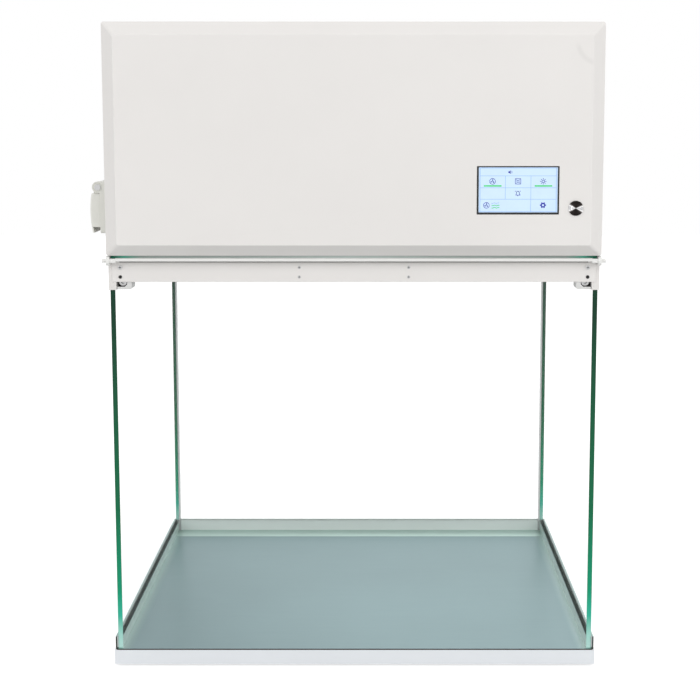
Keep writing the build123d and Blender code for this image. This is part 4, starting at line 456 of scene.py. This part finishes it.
materials = {
    "board_laminate": surface("laminate", LAMINATE_WHITE, 0.42, contrast=0.012, grain=500.0, bump=0.03),
    "foot_rubber": surface("foot_rubber", (0.55, 0.56, 0.58), 0.8, grain=1200.0, bump=0.15),
    "tray_steel": tray_steel(),
    "wall_glass": wall_glass("wall_glass", "X", GLASS_FOOT),
    "rear_glass": wall_glass("rear_glass", "Y", REAR_GLASS_FOOT),
    "sash_clear": sash_glass(),
    "seal_silicone": surface("seal_silicone", (0.66, 0.68, 0.67), 0.5, grain=300.0, bump=0.08),
    "clear_bead": clear_bead(),
    "cover_paint": cover_paint(),
    "white_paint": surface("white_powder_coat", PAINT_WHITE, 0.4, contrast=0.012, grain=1300.0, bump=0.05),
    "rail_paint": surface("rail_powder_coat", RAIL_WHITE, 0.42, contrast=0.015, grain=1300.0, bump=0.05),
    "screw_steel": surface("zinc_steel", (0.55, 0.55, 0.55), 0.3, metal=1.0, grain=900.0, bump=0.05),
    "screw_black": surface("black_oxide", (0.012, 0.012, 0.012), 0.45, grain=900.0, bump=0.05),
    "holder_plastic": holder_plastic(),
    "lamp_glass": surface("lamp_phosphor", (0.82, 0.84, 0.86), 0.25, grain=200.0, bump=0.0, coat=0.5),
    "filter_paper": surface("filter_paper", (0.82, 0.82, 0.78), 0.85, contrast=0.04, grain=2500.0, bump=0.3),
    "filter_aluminium": surface("filter_frame", (0.62, 0.63, 0.65), 0.38, metal=1.0, grain=400.0, bump=0.05,
                                stretch=(1.0, 0.05, 1.0)),
    "mat_fleece": surface("fleece", (0.72, 0.72, 0.68), 0.95, contrast=0.08, patch=300.0, grain=1500.0,
                          bump=0.6),
    "fan_sheet": surface("zinc_sheet", (0.55, 0.56, 0.58), 0.35, metal=1.0, contrast=0.08, patch=60.0,
                         grain=500.0, bump=0.05),
    "motor_black": surface("motor_paint", (0.012, 0.012, 0.013), 0.5, grain=900.0, bump=0.1),
    "stator_metal": surface("stator_casting", (0.20, 0.20, 0.21), 0.5, metal=0.8, grain=700.0, bump=0.2),
    "circuit_board": surface("circuit_board", (0.01, 0.13, 0.05), 0.35, contrast=0.1, patch=80.0,
                             grain=500.0),
    "supply_case": surface("supply_case", (0.5, 0.51, 0.52), 0.4, metal=1.0, grain=500.0, bump=0.08),
    "display_frame": surface("display_frame", (0.010, 0.010, 0.013), 0.25, contrast=0.05, grain=400.0,
                             bump=0.02),
    "display_face": glowing("display_face", SCREEN_BLUE, 0.12),
    "button_metal": spun_metal("spun_button", 0.22, 0.6),
    "socket_plastic": surface("socket_plastic", (0.75, 0.75, 0.70), 0.42, contrast=0.015, grain=700.0,
                              bump=0.06),
    "socket_insert_plastic": surface("socket_insert", (0.62, 0.62, 0.59), 0.45, grain=700.0, bump=0.06),
    "contact_brass": surface("contact_brass", (0.62, 0.46, 0.16), 0.3, metal=1.0, grain=700.0),
    "inlet_plastic": surface("inlet_plastic", (0.015, 0.015, 0.016), 0.45, grain=800.0, bump=0.1),
    "sash_plastic": surface("sash_plastic", (0.80, 0.80, 0.78), 0.4, contrast=0.015, grain=700.0, bump=0.05),
}

# Finishes of the frame's own nodes; a few differ from the others in their slot
OWN_FINISHES = {"rear_glass": "rear_glass", "front_cover": "cover_paint", "corner_seals": "clear_bead"}
for entry in frame["record"]["subparts"]:
    name = entry["node"]
    slot_name = OWN_FINISHES.get(name, entry["material_slot"])
    for material_slot in frame["nodes"][name].material_slots:
        material_slot.link = "OBJECT"
        material_slot.material = materials[slot_name]


def new_piece(name, mesh, material, body="cabinet"):
    """A new object with the given material, which rides on a body."""
    piece = bpy.data.objects.new(name, mesh)
    bpy.context.scene.collection.objects.link(piece)
    piece.data.materials.append(material)
    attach(piece, body)


def finished_mesh(name, builder):
    """A mesh from a builder's vertices and faces, with its faces turned outwards."""
    bmesh.ops.recalc_face_normals(builder, faces=builder.faces)
    mesh = bpy.data.meshes.new(name)
    builder.to_mesh(mesh)
    builder.free()
    return mesh


# Touch display: a grid of fields with small signs, laid on the lit screen; places on it are in its own mm
UI_THICKNESS = 0.06 * MM
UI_GAP = UI_THICKNESS * 0.1
UI_ROWS = (10.1, 24.2, 37.8)
UI_COLUMNS = (31.6, 61.8)
UI_LINE = 0.5
UI_MARGIN = 1.7
UI_SIGNS_U = (16.3, 46.5, 76.4)
UI_FIRST_ROW = 16.6
UI_SIGN_RADIUS = 3.7
UI_MARKS_V = (21.2, 22.8)
UI_WAVES_U = (15.4, 24.8)


def circle_points(u, v, radius, count=24):
    steps = [2 * pi * k / count for k in range(count)]
    return [(u + radius * cos(a), v + radius * sin(a)) for a in steps]


def ring_parts(outer, inner):
    """The quads between two outlines with the same number of points."""
    count = len(outer)
    return [(outer[k], outer[(k + 1) % count], inner[(k + 1) % count], inner[k]) for k in range(count)]


def stroke_parts(points, width):
    """Straight strokes along a path, with round joints."""
    parts = []
    for (u0, v0), (u1, v1) in zip(points, points[1:]):
        along = Vector((u1 - u0, v1 - v0)).normalized() * (width / 2)
        side = Vector((-along.y, along.x))
        parts.append(((u0 + side.x, v0 + side.y), (u1 + side.x, v1 + side.y),
                      (u1 - side.x, v1 - side.y), (u0 - side.x, v0 - side.y)))
    return parts + [circle_points(u, v, width / 2, 10) for u, v in points[1:-1]]


def bar_part(u_low, u_high, v_low, v_high):
    return [((u_low, v_low), (u_high, v_low), (u_high, v_high), (u_low, v_high))]


def gear_parts(u, v, radius, hole, teeth):
    outer = []
    inner = []
    for k in range(4 * teeth):
        angle = 2 * pi * (k - 0.5) / (4 * teeth)
        reach = radius if k % 4 in (0, 1) else radius * 0.74
        outer.append((u + reach * cos(angle), v + reach * sin(angle)))
        inner.append((u + hole * cos(angle), v + hole * sin(angle)))
    return ring_parts(outer, inner)


def fan_parts(u, v, radius):
    """A ring with three blades inside it."""
    parts = ring_parts(circle_points(u, v, radius), circle_points(u, v, radius * 0.84))
    outline = ((0.08, -0.08), (0.3, -0.16), (0.6, -0.02), (0.72, 0.22), (0.42, 0.26), (0.12, 0.1))
    for k in range(3):
        turn = 2 * pi / 3 * k + 0.5
        blade = []
        for along, across in outline:
            blade.append((u + radius * (along * cos(turn) - across * sin(turn)),
                          v + radius * (along * sin(turn) + across * cos(turn))))
        parts.append(blade)
    return parts


def bell_parts(u, v, size):
    """The outline of a bell with a clapper and a short mark at each shoulder."""
    dome = []
    for k in range(9):
        dome.append((u - 0.52 * size * cos(pi * k / 8), v - 0.25 * size - 0.52 * size * sin(pi * k / 8)))
    left_hem = [(u - 0.85 * size, v + 0.62 * size), (u - 0.52 * size, v + 0.25 * size)]
    right_hem = [(u + 0.52 * size, v + 0.25 * size), (u + 0.85 * size, v + 0.62 * size)]
    outline = left_hem + dome + right_hem + left_hem[:1]
    parts = stroke_parts(outline, 0.17 * size) + [circle_points(u, v + 0.82 * size, 0.16 * size, 12)]
    for side in (-1, 1):
        shoulder = [(u + side * 0.72 * size, v - 0.95 * size), (u + side * 0.98 * size, v - 0.62 * size)]
        parts += stroke_parts(shoulder, 0.15 * size)
    return parts


def sun_parts(u, v, radius):
    parts = ring_parts(circle_points(u, v, radius * 0.5), circle_points(u, v, radius * 0.32))
    for k in range(8):
        turn = 2 * pi * k / 8
        parts += stroke_parts([(u + radius * 0.64 * cos(turn), v + radius * 0.64 * sin(turn)),
                               (u + radius * cos(turn), v + radius * sin(turn))], radius * 0.17)
    return parts


def lamp_field_parts(u, v, size):
    """A square frame round a ring with four short rays towards its corners."""
    box = [(u - size, v + size), (u - size, v - size), (u + size, v - size), (u + size, v + size)]
    parts = stroke_parts(box + box[:1], size * 0.17)
    parts += ring_parts(circle_points(u, v, size * 0.50), circle_points(u, v, size * 0.34))
    for k in range(4):
        turn = pi / 4 + pi / 2 * k
        parts += stroke_parts([(u + size * 0.62 * cos(turn), v + size * 0.62 * sin(turn)),
                               (u + size * 1.05 * cos(turn), v + size * 1.05 * sin(turn))], size * 0.16)
    return parts


def speaker_parts(u, v, size):
    cone = [(u - size, v - size * 0.4), (u - size * 0.4, v - size * 0.4), (u + size * 0.2, v - size),
            (u + size * 0.2, v + size), (u - size * 0.4, v + size * 0.4), (u - size, v + size * 0.4)]
    angles = (-0.9, -0.45, 0, 0.45, 0.9)
    arc = [(u + size * 0.25 + size * 0.75 * cos(a), v + size * 0.75 * sin(a)) for a in angles]
    return [cone] + stroke_parts(arc, size * 0.2)


def wave_parts(u_low, u_high, v, dashed=False):
    steps = 12
    path = []
    for k in range(steps + 1):
        path.append((u_low + (u_high - u_low) * k / steps, v + 0.45 * sin(4 * pi * k / steps)))
    pieces = stroke_parts(path, 0.8)
    return [part for k, part in enumerate(pieces[:steps]) if not dashed or k % 3 != 2]


def display_sign(name, parts, material, layer=1):
    """Signs as thin plates on the screen's front; u runs right and v down from its top left corner, in mm."""
    low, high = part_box("display_screen")
    front = low[1] - UI_THICKNESS * layer
    back = low[1] - UI_THICKNESS * (layer - 1) - UI_GAP
    plates = bmesh.new()
    for outline in parts:
        ends = []
        for y in (front, back):
            ends.append([plates.verts.new((low[0] + u * MM, y, high[2] - v * MM)) for u, v in outline])
        plates.faces.new(ends[0])
        plates.faces.new(list(reversed(ends[1])))
        count = len(outline)
        for k in range(count):
            after = (k + 1) % count
            plates.faces.new((ends[0][after], ends[0][k], ends[1][k], ends[1][after]))
    new_piece(name, finished_mesh(name, plates), material)


def build_display():
    low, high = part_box("display_screen")
    width = (high[0] - low[0]) / MM
    height = (high[2] - low[2]) / MM
    lines = glowing("display_line", LINE_BLUE, 0.1)
    navy = glowing("display_navy", ICON_NAVY, 0.1)
    green = glowing("display_green", ICON_GREEN, 0.15)
    u_low, u_high = UI_MARGIN, width - UI_MARGIN
    v_low, v_high = UI_MARGIN / 2, height - UI_MARGIN / 2
    grid = []
    for v in (v_low, *UI_ROWS, v_high):
        grid += bar_part(u_low, u_high, v - UI_LINE / 2, v + UI_LINE / 2)
    for u, v_top, v_end in ((u_low, v_low, v_high), (UI_COLUMNS[0], UI_ROWS[0], UI_ROWS[2]),
                            (UI_COLUMNS[1], UI_ROWS[0], v_high), (u_high, v_low, v_high)):
        grid += bar_part(u - UI_LINE / 2, u + UI_LINE / 2, v_top, v_end)
    display_sign("display_grid", grid, lines)
    left, middle, right = UI_SIGNS_U
    display_sign("display_fan_field", fan_parts(left, UI_FIRST_ROW, UI_SIGN_RADIUS), navy, 2)
    display_sign("display_lamp_field", lamp_field_parts(middle, UI_FIRST_ROW, 3.2), navy, 2)
    display_sign("display_sun", sun_parts(right, UI_FIRST_ROW, UI_SIGN_RADIUS), navy, 2)
    display_sign("display_bell", bell_parts(middle, 30.8, 3.3), navy, 2)
    display_sign("display_airflow_fan", fan_parts(9.3, 45.0, UI_SIGN_RADIUS), navy, 2)
    display_sign("display_gear", gear_parts(right, 44.8, UI_SIGN_RADIUS, 1.3, 6), navy, 2)
    display_sign("display_speaker", speaker_parts(37.1, 5.8, 2.2), navy, 2)
    marks = bar_part(6.0, 27.1, *UI_MARKS_V) + bar_part(66.2, 87.1, *UI_MARKS_V)
    display_sign("display_marks", marks, green, 2)
    display_sign("display_airflow", wave_parts(*UI_WAVES_U, 45.2) + wave_parts(*UI_WAVES_U, 47.9), green, 2)
    display_sign("display_airflow_set", wave_parts(*UI_WAVES_U, 42.5, dashed=True), lines, 2)


build_display()


# Painted shade: dark crosses for the recesses in the heads of the screws, and a dark strip for the shadow
# under the sash's handle
def block(builder, low, high):
    """A box between two corners."""
    corners = [builder.verts.new((x, y, z)) for x in (low[0], high[0]) for y in (low[1], high[1])
               for z in (low[2], high[2])]
    for k in ((0, 1, 3, 2), (4, 6, 7, 5), (0, 4, 5, 1), (2, 3, 7, 6), (0, 2, 6, 4), (1, 5, 7, 3)):
        builder.faces.new([corners[i] for i in k])


def recess_shade_crosses(name, heads, axis, side, material):
    """Dark crosses, painted shade of cross recesses, on screw heads whose outer faces look along an axis;
    heads are (centre, reach) pairs.
    """
    crosses = bmesh.new()
    for centre, reach in heads:
        for long_axis in [k for k in range(3) if k != axis]:
            half = [CROSS_WIDTH_SHARE * reach] * 3
            half[long_axis] = reach
            half[axis] = CROSS_THICKNESS
            middle = list(centre)
            middle[axis] += side * CROSS_THICKNESS * (0.6 if long_axis == (axis + 1) % 3 else 0.4)
            low = [middle[k] - half[k] for k in range(3)]
            high = [middle[k] + half[k] for k in range(3)]
            block(crosses, low, high)
    new_piece(name, finished_mesh(name, crosses), material)


def build_screw_marks():
    # painted shade of the recesses, laid as near-black plates
    dark = surface("screw_recess_shade", (0.05, 0.05, 0.05), 0.5, grain=600.0, bump=0.05)
    bar_low, bar_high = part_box("front_fascia_bar")
    screws_low, screws_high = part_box("fascia_screws")
    upper_z = bar_high[2] - FASCIA_UPPER_ROW
    lower_z = bar_high[2] - FASCIA_LOWER_ROW
    end_x = screws_high[0] - FASCIA_END_HEAD_RADIUS
    middle_y = bar_low[1] - FASCIA_MIDDLE_HEAD_HEIGHT
    heads = []
    for x in (-FASCIA_MIDDLE_X, FASCIA_MIDDLE_X):
        heads += [((x, middle_y, z), FASCIA_MIDDLE_CROSS) for z in (upper_z, lower_z)]
    heads += [((x, screws_low[1], upper_z), FASCIA_END_CROSS) for x in (-end_x, end_x)]
    recess_shade_crosses("fascia_screw_crosses", heads, 1, -1, dark)
    low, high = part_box("top_panel_screws")
    shell_low, shell_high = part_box("housing_shell")
    xs = (low[0] + TOP_HEAD_RADIUS, high[0] - TOP_HEAD_RADIUS)
    ys = (low[1] + TOP_HEAD_RADIUS, (shell_low[1] + shell_high[1]) / 2, high[1] - TOP_HEAD_RADIUS)
    heads = [((x, y, high[2]), PANEL_CROSS) for x in xs for y in ys]
    recess_shade_crosses("top_screw_crosses", heads, 2, 1, dark)
    low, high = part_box("cover_screws")
    y = (low[1] + high[1]) / 2
    zs = (low[2] + COVER_HEAD_RADIUS, (low[2] + high[2]) / 2, high[2] - COVER_HEAD_RADIUS)
    for label, side, x in (("left", -1, low[0]), ("right", 1, high[0])):
        heads = [((x, y, z), PANEL_CROSS) for z in zs]
        recess_shade_crosses(f"{label}_cover_screw_crosses", heads, 0, side, dark)


def build_handle_shadow_strip():
    """A near-black strip under the rear edge of the handle, a painted shadow on the fascia bar, which moves
    down in front of the bar with the sash.
    """
    low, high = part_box("sash_rail")
    builder = bmesh.new()
    block(builder, (low[0] + SHADOW_STRIP_END_GAP, high[1] - SHADOW_STRIP_COVERED_DEPTH, low[2] - SHADOW_STRIP_HEIGHT),
          (high[0] - SHADOW_STRIP_END_GAP, high[1] + SHADOW_STRIP_FREE_DEPTH, low[2]))
    # painted shadow: a near-black strip under the handle
    rubber = surface("handle_shadow_strip", (0.035, 0.030, 0.022), 0.7, grain=900.0, bump=0.1)
    new_piece("handle_shadow_strip", finished_mesh("handle_shadow_strip", builder), rubber, body="sash")


build_screw_marks()
build_handle_shadow_strip()


# Studio: a pale floor, a white surround and soft lamps
def build_floor():
    """Pale floor: white with the hood's shadow where it is seen, and softer in the light that it gives."""
    mesh = bpy.data.meshes.new("studio_floor")
    sheet = bmesh.new()
    bmesh.ops.create_grid(sheet, x_segments=8, y_segments=8, size=FLOOR_HALF_SIZE)
    sheet.to_mesh(mesh)
    sheet.free()
    floor = bpy.data.objects.new("studio_floor", mesh)
    bpy.context.scene.collection.objects.link(floor)
    material, tree, shader = new_material("floor")
    shader.inputs["Base Color"].default_value = (*FLOOR_COLOUR, 1.0)
    shader.inputs["Roughness"].default_value = 0.9
    shader.inputs["Emission Color"].default_value = (1.0, 1.0, 1.0, 1.0)
    glow = product(tree, seen_directly(tree), FLOOR_GLOW)
    tree.links.new(glow, shader.inputs["Emission Strength"])
    mesh.materials.append(material)


def build_world():
    """White where it is seen, directly or in glass and metal, and a softer light on the hood itself."""
    world = bpy.data.worlds.new("studio")
    bpy.context.scene.world = world
    world.use_nodes = True
    tree = world.node_tree
    background = tree.nodes["Background"]
    background.inputs["Color"].default_value = (1.0, 1.0, 1.0, 1.0)
    strength = node(tree, "ShaderNodeMapRange")
    strength.inputs["To Min"].default_value = WORLD_LIGHT
    strength.inputs["To Max"].default_value = 1.0
    tree.links.new(seen_directly(tree), strength.inputs["Value"])
    tree.links.new(strength.outputs["Result"], background.inputs["Strength"])


def area_lamp(name, place, aim, width, height, power):
    data = bpy.data.lights.new(name, "AREA")
    data.shape = "RECTANGLE"
    data.size = width
    data.size_y = height
    data.energy = power
    lamp = bpy.data.objects.new(name, data)
    lamp.location = place
    lamp.rotation_euler = (Vector(aim) - Vector(place)).to_track_quat("-Z", "Y").to_euler()
    bpy.context.scene.collection.objects.link(lamp)


build_floor()
build_world()
area_lamp("key", (0.7, -2.6, 2.6), (0.0, -0.2, 0.45), 1.8, 1.2, 14.0)
area_lamp("right_strip", (2.0, -2.2, 0.75), (0.0, -0.25, 0.65), 0.3, 1.6, 12.0)
area_lamp("left_strip", (-2.0, -2.2, 0.75), (0.0, -0.25, 0.65), 0.3, 1.6, 11.0)
area_lamp("back", (0.5, 2.6, 2.2), (0.0, 0.0, 0.45), 2.0, 1.6, 14.0)

# Camera
camera_data = bpy.data.cameras.new("camera")
camera = bpy.data.objects.new("camera", camera_data)
bpy.context.scene.collection.objects.link(camera)
bpy.context.scene.camera = camera
pitch = atan((IMAGE_SIZE / 2 + SHIFT_Y * IMAGE_SIZE - HORIZON_PIXEL) / FOCAL_PIXELS)
camera.location = (CAMERA_X, BOARD_FRONT_Y - CAMERA_DISTANCE, CAMERA_Z)
camera.rotation_euler = (pi / 2 - pitch, 0.0, 0.0)
camera_data.sensor_width = SENSOR_WIDTH
camera_data.lens = FOCAL_PIXELS / IMAGE_SIZE * SENSOR_WIDTH
camera_data.shift_x = (IMAGE_SIZE / 2 - OPTICAL_PIXEL_X) / IMAGE_SIZE
camera_data.shift_y = SHIFT_Y
camera_data.clip_end = 50.0

bpy.context.scene.view_settings.view_transform = "Standard"
